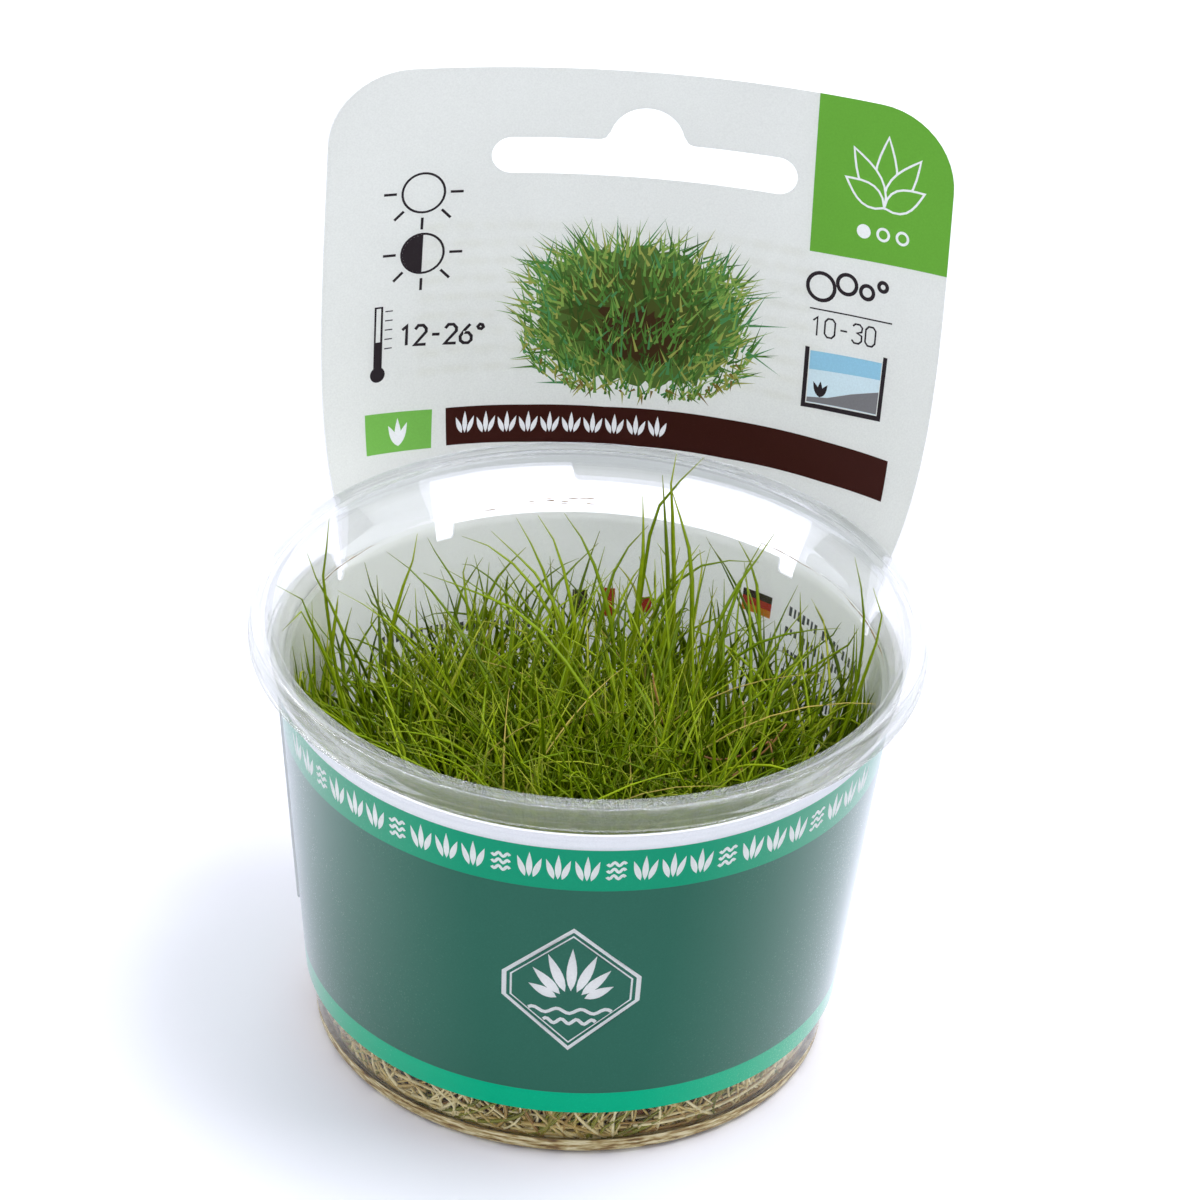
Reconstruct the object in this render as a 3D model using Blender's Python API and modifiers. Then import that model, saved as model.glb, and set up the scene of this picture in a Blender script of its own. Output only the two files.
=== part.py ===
"""Dwarf hairgrass in a clear cup: grass tufts on a mat of roots, and a printed sheet that wraps the cup
and rises behind it as a hang card.

Metres, +Z up. The origin is the middle of the cup's base, the card stands at +Y, the front faces -Y.
"""
import math
import random

import bmesh
import bpy
from mathutils import Matrix, Vector

MM = 0.001
GAP = 0.3 * MM

# Cup
BASE_RADIUS = 26.8 * MM
WALL_SLOPE = 0.102
WALL = 0.6 * MM
FLOOR_THICKNESS = 0.6 * MM
FOOT_RISE = 0.3 * MM
FOOT_WIDTH = 1.8 * MM
FOOT_INSET = 0.6 * MM
FOOT_CHAMFER = 0.5 * MM
FLOOR_CHAMFER = 0.9 * MM
PAD_RADIUS = 7.0 * MM
LEDGE_HEIGHT = 43.0 * MM
LEDGE_WIDTH = 0.8 * MM
LEDGE_RISE = 1.1 * MM
LIP_RADIUS = 32.45 * MM
LIP_HEIGHT = 48.45 * MM
BEAD_RADIUS = 34.7 * MM
BEAD_HEIGHT = 48.85 * MM
BEAD_ROUNDING = 0.6 * MM
BEAD_DROP = 1.0 * MM
SKIRT_RADIUS = 35.0 * MM
SKIRT_HEIGHT = 46.15 * MM
CUP_STEPS = 52

# Printed sheet, measured round the cup as an angle from the middle of the back
SHEET = 0.3 * MM
SHEET_GAP = 0.4 * MM
BAND_BOTTOM = 6.5 * MM
BAND_TOP = 44.3 * MM
BAND_TOP_AT_WINDOW = 41.7 * MM
FLARE_START = 42.3 * MM
FLARE = 0.9 * MM
LAP_END = -97.0
LAP_START = -62.0
LAP_STEP_ANGLE = -85.0
LAP_PROUD = 0.65 * MM
LAP_BOTTOM = 11.6 * MM
INNER_END = 276.0
CARD_HALF_ANGLE = 61.5
SLIT_ANGLE = 63.5
SLIT_BOTTOM = 40.8 * MM
CARD_TOP = 93.0 * MM
CARD_FLAT_RADIUS = 102.0 * MM
CARD_TOP_WIDTH = 0.967
CARD_LEAN = 0.9 * MM
CARD_TWIST = 0.05
CARD_CORNER = 8.2 * MM
STEP_OUT_START = 40.8 * MM
STEP_OUT_END = 46.0 * MM
STEP_OUT_WIDER = 0.02
BEHIND_ANGLE = 29.4
UNBEND_START = 46.0 * MM
UNBEND_RATE = 16.0 * MM
WINDOW_TOP = 45.3 * MM
WINDOW_TOP_ANGLE = 39.4
WINDOW_LOW_ANGLE = 37.6
NOTCH_INNER_ANGLE = 33.8
NOTCH_BOTTOM = 40.2 * MM
TAB_TOP_ANGLE = 10.5
TAB_LOW_ANGLE = 10.3
TAB_BOTTOM = 43.5 * MM
COLUMN = 7.6
CARD_ROWS = 8

# Hang slot
SLOT_WIDTH = 32.0 * MM
SLOT_HEIGHT = 4.2 * MM
SLOT_BOTTOM = 80.6 * MM
HUMP_RADIUS = 3.95 * MM
HUMP_FILLET = 0.8 * MM
CUTTER_NEAR = 20.0 * MM
CUTTER_FAR = 48.0 * MM
CUTTER_MARGIN = 3.0 * MM

# Roots
ROOT_BOTTOM = FOOT_RISE + FLOOR_THICKNESS + GAP
ROOT_TOP = 7.0 * MM
ROOT_SEGMENTS = 56
ROOT_RIDGE = 0.35 * MM
ROOT_LUMP = 0.5 * MM
ROOT_ROUNDING = 1.1 * MM
ROOT_LEVELS = (0.0, 0.2, 0.4, 0.7, 0.92, 1.0)
ROOT_RIDGES = 14
ROOT_LUMPS = 5

# Grass
TUFT_PITCH = 10.9 * MM
CROWN_RADIUS = 4.75 * MM
CROWN_HEIGHT = 3.6 * MM
CROWN_FLAT = -0.25
SPREAD = 4.9 * MM
BLADE_LENGTH_MIDDLE = 35.0 * MM
BLADE_LENGTH_EDGE = 30.0 * MM
BLADES = 16
BLADE_SECTIONS = (0.5 * MM, 0.38 * MM, 0.0)
KNEE_REACH = 0.3
KNEE_RISE = 0.62
SEED = 7

# Tips of the tall blades in mm, by the number of the tuft that they grow from
TALL_TIPS = {
    8: [(27.6, 3.4, 52.6), (28.8, -1.6, 49.0)],
    9: [(24.6, 11.0, 53.0)],
    10: [(9.0, 23.6, 55.6), (11.8, 24.4, 54.6), (17.2, 20.6, 48.0)],
    11: [(4.4, 23.6, 54.4), (-0.6, 24.0, 44.6), (-4.6, 23.6, 46.6)],
    12: [(-8.0, 18.6, 49.6), (-14.2, 17.6, 47.6)],
    13: [(-19.6, 14.6, 48.0)],
    14: [(-27.2, 2.4, 55.6), (-29.0, 2.6, 51.4), (-29.4, -1.6, 49.0)],
}


def cup_outer(z):
    """Outer radius of the cup's wall."""
    return BASE_RADIUS + WALL_SLOPE * z


def cup_inner(z):
    """Inner radius of the cup's wall."""
    return cup_outer(z) - WALL


def smooth(value, low, high):
    """Goes from 0 at low to 1 at high, level at both ends."""
    t = min(max((value - low) / (high - low), 0.0), 1.0)
    return t * t * (3.0 - 2.0 * t)


def material(name, colour, roughness, alpha=1.0):
    """A Principled material; a clear one also lets light through."""
    made = bpy.data.materials.new(name)
    made.use_nodes = True
    shader = made.node_tree.nodes["Principled BSDF"]
    shader.inputs["Base Color"].default_value = (*colour, 1.0)
    shader.inputs["Roughness"].default_value = roughness
    shader.inputs["Metallic"].default_value = 0.0
    if alpha < 1.0:
        shader.inputs["Alpha"].default_value = alpha
        shader.inputs["IOR"].default_value = 1.49
    return made


def add(name, mesh, group, made_of):
    """Puts a mesh in the collection as a named piece."""
    mesh.materials.append(made_of)
    piece = bpy.data.objects.new(name, mesh)
    group.objects.link(piece)
    return piece


def to_mesh(name, shape):
    """Turns a bmesh into a smooth-shaded mesh."""
    shape.normal_update()
    mesh = bpy.data.meshes.new(name)
    shape.to_mesh(mesh)
    shape.free()
    mesh.shade_smooth()
    mesh.set_sharp_from_angle(angle=math.radians(35.0))
    return mesh


def cup_profile():
    """The wall's section: down the outside from the lip, then up the inside, closed back to the lip."""
    foot = BASE_RADIUS - FOOT_INSET
    ledge = LEDGE_HEIGHT
    under_lip = LIP_HEIGHT - LEDGE_RISE
    outer = [
        (BEAD_RADIUS - 2.0 * BEAD_ROUNDING, 0.5 * (LIP_HEIGHT + BEAD_HEIGHT)),
        (BEAD_RADIUS - BEAD_ROUNDING, BEAD_HEIGHT),
        (BEAD_RADIUS, BEAD_HEIGHT - 0.4 * BEAD_ROUNDING),
        (0.5 * (BEAD_RADIUS + SKIRT_RADIUS), BEAD_HEIGHT - 1.4 * BEAD_ROUNDING),
        (SKIRT_RADIUS, SKIRT_HEIGHT + 2.0 * WALL),
        (SKIRT_RADIUS, SKIRT_HEIGHT),
        (SKIRT_RADIUS - WALL, SKIRT_HEIGHT),
        (BEAD_RADIUS - WALL, BEAD_HEIGHT - BEAD_DROP),
        (LIP_RADIUS + LEDGE_WIDTH, LIP_HEIGHT - WALL),
        (LIP_RADIUS + 0.5 * LEDGE_WIDTH, under_lip),
        (cup_outer(ledge) + LEDGE_WIDTH, ledge + LEDGE_RISE),
        (cup_outer(ledge), ledge),
        (cup_outer(FLOOR_CHAMFER), FLOOR_CHAMFER),
        (foot, 0.0),
        (foot - FOOT_WIDTH, 0.0),
        (foot - FOOT_WIDTH - FOOT_CHAMFER, FOOT_RISE),
        (PAD_RADIUS + FOOT_CHAMFER, FOOT_RISE),
        (PAD_RADIUS, 0.0),
        (0.0, 0.0),
    ]
    floor = FOOT_RISE + FLOOR_THICKNESS
    inner = [
        (0.0, floor),
        (cup_inner(floor) - FLOOR_CHAMFER, floor),
        (cup_inner(floor + FLOOR_CHAMFER), floor + FLOOR_CHAMFER),
        (cup_inner(ledge), ledge),
        (cup_inner(ledge) + LEDGE_WIDTH, ledge + 0.5 * LEDGE_RISE),
        (LIP_RADIUS - 0.25 * WALL, LIP_HEIGHT - WALL),
        (LIP_RADIUS, LIP_HEIGHT),
    ]
    return outer + inner


def make_cup(group):
    """The cup: its section turned round the Z axis."""
    points = cup_profile()
    shape = bmesh.new()
    corners = [shape.verts.new((x, 0.0, z)) for x, z in points]
    for first, second in zip(corners, corners[1:]):
        if first.co.x + second.co.x > 0.0:
            shape.edges.new((first, second))
    shape.edges.new((corners[-1], corners[0]))
    mesh = bpy.data.meshes.new("cup")
    shape.to_mesh(mesh)
    shape.free()
    cup = add("cup", mesh, group, material("clear plastic", (0.93, 0.95, 0.97), 0.08, 0.35))
    turn = cup.modifiers.new("turn", "SCREW")
    turn.axis = "Z"
    turn.steps = CUP_STEPS
    turn.render_steps = CUP_STEPS
    turn.use_merge_vertices = True
    turn.merge_threshold = 0.00002
    turn.use_smooth_shade = True
    return cup


def card_share(angle):
    """1 where a column of the sheet belongs to the card, 0 where it belongs to the band alone."""
    return 1.0 if abs(angle) < 0.5 * (CARD_HALF_ANGLE + SLIT_ANGLE) else 0.0


def sheet_point(angle, z):
    """Place of the sheet's inner face, from the angle round the cup and the height."""
    band = cup_outer(z) + SHEET_GAP
    turn = math.radians(angle)
    if not card_share(angle):
        radius = band + FLARE * smooth(z, FLARE_START, BAND_TOP)
        if angle < 0.0:
            radius += LAP_PROUD * smooth(-angle, -LAP_START, -LAP_STEP_ANGLE)
        return Vector((radius * math.sin(turn), radius * math.cos(turn), z))
    hugging = SKIRT_RADIUS + SHEET_GAP
    out = smooth(z, STEP_OUT_START, STEP_OUT_END)
    if abs(angle) < BEHIND_ANGLE and z > BAND_TOP_AT_WINDOW:
        out = 1.0
    unbend = 1.0 - math.exp(-max(z - UNBEND_START, 0.0) / UNBEND_RATE)
    width = (cup_outer(min(z, STEP_OUT_START)) + SHEET_GAP) * (1.0 + STEP_OUT_WIDER * out)
    width *= 1.0 + (CARD_TOP_WIDTH - 1.0) * smooth(z, STEP_OUT_END, CARD_TOP)
    bend = band + (hugging - band) * out if z < STEP_OUT_END else hugging
    radius = 1.0 / ((1.0 - unbend) / bend + unbend / CARD_FLAT_RADIUS)
    share = width * turn / radius
    x = radius * math.sin(share)
    rise = smooth(z, STEP_OUT_END, CARD_TOP)
    y = bend - radius * (1.0 - math.cos(share)) + (CARD_LEAN + CARD_TWIST * x) * rise
    return Vector((x, y, z))


def sheet_columns():
    """Angles of the sheet's columns: the cut edges, with even columns between them."""
    cuts = [
        LAP_END, LAP_STEP_ANGLE, -SLIT_ANGLE, -CARD_HALF_ANGLE, -WINDOW_LOW_ANGLE, -NOTCH_INNER_ANGLE,
        -TAB_LOW_ANGLE, TAB_LOW_ANGLE, NOTCH_INNER_ANGLE, WINDOW_LOW_ANGLE, CARD_HALF_ANGLE, SLIT_ANGLE,
        INNER_END,
    ]
    columns = [cuts[0]]
    for low, high in zip(cuts, cuts[1:]):
        count = max(1, round((high - low) / COLUMN))
        columns += [low + (high - low) * k / count for k in range(1, count + 1)]
    return columns


def strip_cells(angle):
    """Lower and upper edges of the sheet's cells in the strip between two columns."""
    side = abs(angle)
    if side > CARD_HALF_ANGLE:
        bottom = LAP_BOTTOM if angle < LAP_STEP_ANGLE else BAND_BOTTOM
        if side < SLIT_ANGLE:
            return [(bottom, SLIT_BOTTOM)]
        return [(bottom, FLARE_START), (FLARE_START, BAND_TOP)]
    rise = CARD_TOP - STEP_OUT_END
    card = [WINDOW_TOP, STEP_OUT_END]
    card += [STEP_OUT_END + rise * k / CARD_ROWS for k in range(1, CARD_ROWS + 1)]
    if side > WINDOW_LOW_ANGLE:
        heights = [BAND_BOTTOM, SLIT_BOTTOM, BAND_TOP_AT_WINDOW, FLARE_START, BAND_TOP] + card
        return list(zip(heights, heights[1:]))
    if side < TAB_LOW_ANGLE:
        card = [TAB_BOTTOM] + card
    band_top = BAND_TOP_AT_WINDOW if side < NOTCH_INNER_ANGLE else NOTCH_BOTTOM
    return [(BAND_BOTTOM, band_top)] + list(zip(card, card[1:]))


def slanted(angle, z):
    """Slants the window's side edges and the tab's edges: both are wider at the top."""
    side = abs(angle)
    rise = smooth(z, NOTCH_BOTTOM, WINDOW_TOP)
    if NOTCH_BOTTOM <= z <= WINDOW_TOP and math.isclose(side, WINDOW_LOW_ANGLE, abs_tol=0.01):
        side += (WINDOW_TOP_ANGLE - WINDOW_LOW_ANGLE) * rise
    if TAB_BOTTOM <= z <= WINDOW_TOP and math.isclose(side, TAB_LOW_ANGLE, abs_tol=0.01):
        side += (TAB_TOP_ANGLE - TAB_LOW_ANGLE) * smooth(z, TAB_BOTTOM, WINDOW_TOP)
    return math.copysign(side, angle)


def slot_outline():
    """The hang slot: a long slot with round ends and a hump at the middle of its top."""
    half = SLOT_WIDTH / 2.0
    end = SLOT_HEIGHT / 2.0
    top = SLOT_BOTTOM + SLOT_HEIGHT
    points = []
    for k in range(7):
        a = -math.pi / 2.0 + math.pi * k / 6.0
        points.append((half - end + end * math.cos(a), SLOT_BOTTOM + end + end * math.sin(a)))
    fillet = [(HUMP_RADIUS + HUMP_FILLET, top), (HUMP_RADIUS, top + HUMP_FILLET)]
    points += fillet
    for k in range(2, 9):
        a = math.pi * k / 10.0
        points.append((HUMP_RADIUS * math.cos(a), top + HUMP_RADIUS * math.sin(a)))
    points += [(-x, z) for x, z in reversed(fillet)]
    for k in range(7):
        a = math.pi / 2.0 + math.pi * k / 6.0
        points.append((-half + end + end * math.cos(a), SLOT_BOTTOM + end + end * math.sin(a)))
    return points


def corner_outline(side):
    """What is cut from a card's top corner: a square corner less a quarter circle."""
    radius = CARD_CORNER
    edge = sheet_point(CARD_HALF_ANGLE, CARD_TOP).x
    margin = CUTTER_MARGIN
    centre = (edge - radius, CARD_TOP - radius)
    points = [(edge + margin, centre[1]), (edge + margin, CARD_TOP + margin), (centre[0], CARD_TOP + margin)]
    for k in range(9):
        a = math.pi / 2.0 * (1.0 - k / 8.0)
        points.append((centre[0] + radius * math.cos(a), centre[1] + radius * math.sin(a)))
    if side < 0.0:
        points = [(-x, z) for x, z in reversed(points)]
    return points


def make_cutter(name, outline, group):
    """A prism along Y with the given outline in X and Z."""
    shape = bmesh.new()
    face = shape.faces.new([shape.verts.new((x, CUTTER_NEAR, z)) for x, z in outline])
    grown = bmesh.ops.extrude_face_region(shape, geom=[face])
    moved = [item for item in grown["geom"] if isinstance(item, bmesh.types.BMVert)]
    bmesh.ops.translate(shape, verts=moved, vec=(0.0, CUTTER_FAR - CUTTER_NEAR, 0.0))
    bmesh.ops.recalc_face_normals(shape, faces=shape.faces)
    mesh = bpy.data.meshes.new(name)
    shape.to_mesh(mesh)
    shape.free()
    cutter = bpy.data.objects.new(name, mesh)
    cutter.hide_render = True
    cutter.display_type = "WIRE"
    group.objects.link(cutter)
    return cutter


def make_sheet(group, cutters):
    """The printed sheet: a flat grid with its cuts, bent into place, thickened, then slotted."""
    columns = sheet_columns()
    strips = [strip_cells(0.5 * (low + high)) for low, high in zip(columns, columns[1:])]
    shape = bmesh.new()
    corners = []
    for i, angle in enumerate(columns):
        beside = strips[max(i - 1, 0):i + 1]
        heights = sorted({z for strip in beside for cell in strip for z in cell})
        corners.append([(z, shape.verts.new(sheet_point(slanted(angle, z), z))) for z in heights])
    for i, strip in enumerate(strips):
        for low, high in strip:
            left = [corner for z, corner in corners[i] if low <= z <= high]
            right = [corner for z, corner in corners[i + 1] if low <= z <= high]
            shape.faces.new(left + right[::-1])
    bmesh.ops.triangulate(shape, faces=[face for face in shape.faces if len(face.verts) > 4])
    mesh = to_mesh("wrap_card", shape)
    card = add("wrap_card", mesh, group, material("printed film", (0.05, 0.16, 0.10), 0.3))
    thick = card.modifiers.new("thickness", "SOLIDIFY")
    thick.thickness = SHEET
    thick.offset = 1.0
    thick.use_even_offset = True
    for name, outline in (
        ("slot_cutter", slot_outline()),
        ("left_corner_cutter", corner_outline(-1.0)),
        ("right_corner_cutter", corner_outline(1.0)),
    ):
        cut = card.modifiers.new(name, "BOOLEAN")
        cut.operation = "DIFFERENCE"
        cut.solver = "EXACT"
        cut.object = make_cutter(name, outline, cutters)
    return card


def make_roots(group):
    """The root mat: a low disc that fills the cup's bottom, ridged by the roots that circle its edge."""
    shape = bmesh.new()
    rings = []
    for level in ROOT_LEVELS:
        z = ROOT_BOTTOM + (ROOT_TOP - ROOT_BOTTOM) * level
        ring = bmesh.ops.create_circle(shape, segments=ROOT_SEGMENTS, radius=1.0)["verts"]
        inset = ROOT_ROUNDING if level in (0.0, 1.0) else 0.0
        for k, corner in enumerate(ring):
            turn = 2.0 * math.pi * k / ROOT_SEGMENTS
            wave = 0.5 + 0.5 * math.sin(ROOT_RIDGES * turn + ROOT_LUMPS * level + 2.0 * math.sin(3.0 * turn))
            radius = cup_inner(z) - GAP - inset - ROOT_RIDGE * wave
            lift = ROOT_LUMP * math.sin(ROOT_LUMPS * turn + 1.0) if level > 0.9 else 0.0
            corner.co = (radius * math.cos(turn), radius * math.sin(turn), z + lift)
        rings.append(ring)
    for low, high in zip(rings, rings[1:]):
        for k in range(ROOT_SEGMENTS):
            after = (k + 1) % ROOT_SEGMENTS
            shape.faces.new((low[k], low[after], high[after], high[k]))
    shape.faces.new(list(reversed(rings[0])))
    top = shape.faces.new(rings[-1])
    bmesh.ops.poke(shape, faces=[top], offset=0.0)
    bmesh.ops.recalc_face_normals(shape, faces=shape.faces)
    return add("root_mat", to_mesh("root_mat", shape), group, material("roots", (0.42, 0.30, 0.12), 0.7))


def tuft_places():
    """Middles of the tufts: one, a ring of six, and a ring of twelve."""
    places = [(0.0, 0.0)]
    for ring, count in ((1, 6), (2, 12)):
        for k in range(count):
            turn = 2.0 * math.pi * k / count
            reach = ring * TUFT_PITCH
            if ring == 2 and k % 2:
                reach *= 0.955
            places.append((reach * math.cos(turn), reach * math.sin(turn)))
    return places


def widen(x, y, z):
    """Spreads a place in the tufts' plan with the cup's wall, which opens upwards."""
    scale = cup_inner(z) / cup_inner(ROOT_TOP)
    return Vector((x * scale, y * scale, z))


def blade_path(start, tip):
    """Points along a blade: it leaves the crown upwards and leans over towards its tip."""
    low = Vector(start)
    high = Vector(tip)
    knee = low.lerp(high, KNEE_REACH)
    knee.z = low.z + KNEE_RISE * (high.z - low.z)
    path = []
    for k in range(1, len(BLADE_SECTIONS) + 1):
        t = k / len(BLADE_SECTIONS)
        path.append(low.lerp(knee, t).lerp(knee.lerp(high, t), t))
    return path


def grow_blade(shape, face, path):
    """Draws one face out along a path into a tapering blade with a pointed tip."""
    for place, size in zip(path, BLADE_SECTIONS):
        face = bmesh.ops.extrude_discrete_faces(shape, faces=[face])["faces"][0]
        centre = face.calc_center_median()
        for corner in face.verts:
            offset = corner.co - centre
            offset.z *= 0.5
            corner.co = place + offset.normalized() * size
    bmesh.ops.pointmerge(shape, verts=list(face.verts), merge_co=path[-1])


def make_crown(shape, place, floor, spin):
    """The tuft's crown: a low dome with a flat bottom."""
    bmesh.ops.create_icosphere(shape, subdivisions=2, radius=1.0)
    under = [face for face in shape.faces if face.calc_center_median().z < CROWN_FLAT]
    bmesh.ops.delete(shape, geom=under, context="FACES")
    rim = [edge for edge in shape.edges if edge.is_boundary]
    bmesh.ops.contextual_create(shape, geom=rim)
    for corner in shape.verts:
        flat = spin @ corner.co
        x = place[0] + flat.x * CROWN_RADIUS
        y = place[1] + flat.y * CROWN_RADIUS
        corner.co = widen(x, y, floor + CROWN_HEIGHT * max(flat.z, 0.0))
    shape.normal_update()


def make_tuft(number, place, group, made_of):
    """One tuft: a low crown on the root mat, and the blades that grow from its upper faces."""
    chance = random.Random(SEED * 100 + number)
    outward = math.hypot(*place) / (2.0 * TUFT_PITCH)
    floor = ROOT_TOP + ROOT_LUMP + GAP
    shape = bmesh.new()
    make_crown(shape, place, floor, Matrix.Rotation(chance.uniform(0.0, math.pi), 4, "Z"))
    upper = [face for face in shape.faces if face.normal.z > 0.1 and len(face.verts) == 3]
    upper.sort(key=lambda face: -face.calc_center_median().z)
    upper = upper[:BLADES]
    for tip in TALL_TIPS.get(number, []):
        high = Vector(tip) * MM
        face = min(upper, key=lambda face: (face.calc_center_median() - high).length)
        upper.remove(face)
        grow_blade(shape, face, blade_path(face.calc_center_median(), high))
    for face in upper:
        start = face.calc_center_median()
        middle = widen(place[0], place[1], start.z)
        lean = Vector((start.x - middle.x, start.y - middle.y)) / CROWN_RADIUS
        length = BLADE_LENGTH_MIDDLE + (BLADE_LENGTH_EDGE - BLADE_LENGTH_MIDDLE) * outward
        reach = SPREAD * chance.uniform(0.95, 1.2)
        top = floor + length * chance.uniform(0.74, 1.0)
        tip = widen(place[0] + lean.x * reach, place[1] + lean.y * reach, top)
        grow_blade(shape, face, blade_path(start, tip))
    name = "hairgrass_tuft_%02d" % number
    return add(name, to_mesh(name, shape), group, made_of)


def main():
    for item in list(bpy.data.objects):
        bpy.data.objects.remove(item, do_unlink=True)
    group = bpy.data.collections.new("dwarf_hairgrass_in_cup")
    cutters = bpy.data.collections.new("cutters")
    bpy.context.scene.collection.children.link(group)
    bpy.context.scene.collection.children.link(cutters)
    make_cup(group)
    make_sheet(group, cutters)
    make_roots(group)
    grass = material("grass", (0.16, 0.26, 0.03), 0.45)
    for number, place in enumerate(tuft_places(), start=1):
        make_tuft(number, place, group, grass)


main()
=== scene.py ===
"""Potted dwarf hairgrass: the looks of the grass, its roots, the clear cup and the printed sheet.

Shapes are worked out in millimetres and become metres when a mesh is made.
"""
import math
import random

import bpy
import numpy as np
from mathutils import Matrix, Vector
from mathutils.geometry import delaunay_2d_cdt


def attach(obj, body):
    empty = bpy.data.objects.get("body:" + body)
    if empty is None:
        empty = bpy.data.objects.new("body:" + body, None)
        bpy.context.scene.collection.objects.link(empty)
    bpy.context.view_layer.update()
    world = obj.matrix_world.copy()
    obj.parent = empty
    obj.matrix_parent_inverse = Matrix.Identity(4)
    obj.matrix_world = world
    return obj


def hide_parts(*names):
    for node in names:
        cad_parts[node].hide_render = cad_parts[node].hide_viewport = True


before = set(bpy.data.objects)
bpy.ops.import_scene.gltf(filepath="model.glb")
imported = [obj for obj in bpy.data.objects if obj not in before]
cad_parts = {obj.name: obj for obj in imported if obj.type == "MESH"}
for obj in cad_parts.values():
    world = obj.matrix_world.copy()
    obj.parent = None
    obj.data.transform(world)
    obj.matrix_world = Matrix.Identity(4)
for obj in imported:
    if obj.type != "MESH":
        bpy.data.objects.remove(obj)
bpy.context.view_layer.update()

MM = 0.001

# The solids' own sizes, in mm and degrees
BASE_RADIUS, WALL_SLOPE, WALL = 26.8, 0.102, 0.6
SKIRT_RADIUS = 35.0
SHEET, SHEET_GAP = 0.3, 0.4
BAND_BOTTOM, BAND_TOP, BAND_TOP_AT_WINDOW = 6.5, 44.3, 41.7
FLARE_START, FLARE = 42.3, 0.9
LAP_END, LAP_START, LAP_STEP_ANGLE, LAP_PROUD, LAP_BOTTOM = -97.0, -62.0, -85.0, 0.42, 11.6
INNER_END = 276.0
CARD_HALF_ANGLE, SLIT_ANGLE, SLIT_BOTTOM = 61.5, 63.5, 40.8
CARD_TOP, CARD_FLAT_RADIUS, CARD_TOP_WIDTH = 93.0, 102.0, 0.967
CARD_LEAN, CARD_TWIST, CARD_CORNER = 0.9, 0.05, 8.2
STEP_OUT_START, STEP_OUT_END, STEP_OUT_WIDER = 40.8, 46.0, 0.02
TAB_OUT_ANGLE, TAB_IN_ANGLE = 28.0, 35.3
UNBEND_START, UNBEND_RATE = 46.0, 16.0
WINDOW_TOP, WINDOW_TOP_ANGLE, WINDOW_LOW_ANGLE = 45.3, 39.4, 37.6
NOTCH_INNER_ANGLE, NOTCH_BOTTOM = 33.8, 40.2
TAB_TOP_ANGLE, TAB_LOW_ANGLE, TAB_BOTTOM = 10.5, 10.3, 43.5
SLOT_WIDTH, SLOT_HEIGHT, SLOT_BOTTOM, HUMP_RADIUS = 32.0, 4.2, 80.6, 3.95
ROOT_TOP = 7.0
TUFT_PITCH = 10.9
TUFT_FLOOR = 7.8
PER_DEGREE = 0.5585  # mm on the flat sheet for each degree round the cup
FIELD_ANGLE = 68.0  # where the sleeve's print starts, on both sides of the card


def cup_outer(z):
    """Outer radius of the cup's wall."""
    return BASE_RADIUS + WALL_SLOPE * z


def cup_inner(z):
    """Inner radius of the cup's wall."""
    return cup_outer(z) - WALL


def smooth(value, low, high):
    """Goes from 0 at low to 1 at high, level at both ends."""
    t = np.clip((value - low) / (high - low), 0.0, 1.0)
    return t * t * (3.0 - 2.0 * t)


# ---- meshes and materials


def mesh_of(name, points, faces):
    """A mesh in metres from points in mm and lists of corner numbers."""
    sizes = np.array([len(face) for face in faces], dtype=np.int32)
    corners = np.fromiter((c for face in faces for c in face), dtype=np.int32, count=int(sizes.sum()))
    return mesh_of_arrays(name, points, corners, sizes)


def mesh_of_arrays(name, points, corners, sizes):
    """A mesh in metres from points in mm, the corners of all faces in a row, and each face's size."""
    mesh = bpy.data.meshes.new(name)
    mesh.vertices.add(len(points))
    mesh.vertices.foreach_set("co", (np.asarray(points, dtype=np.float64) * MM).astype(np.float32).ravel())
    mesh.loops.add(len(corners))
    mesh.loops.foreach_set("vertex_index", corners)
    starts = np.concatenate([[0], np.cumsum(sizes)[:-1]]).astype(np.int32)
    mesh.polygons.add(len(sizes))
    mesh.polygons.foreach_set("loop_start", starts)
    mesh.update(calc_edges=True)
    mesh.validate()
    mesh.shade_smooth()
    return mesh


def store(mesh, name, values, domain="POINT"):
    """Keeps a number for each point or corner, which a material reads."""
    mesh.attributes.new(name, "FLOAT", domain).data.foreach_set("value", np.asarray(values, dtype=np.float32))


def piece_of(name, mesh, materials):
    """Links a piece of the object and gives it its materials."""
    piece = bpy.data.objects.new(name, mesh)
    bpy.context.scene.collection.objects.link(piece)
    for item in materials:
        mesh.materials.append(item)
    return piece


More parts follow.
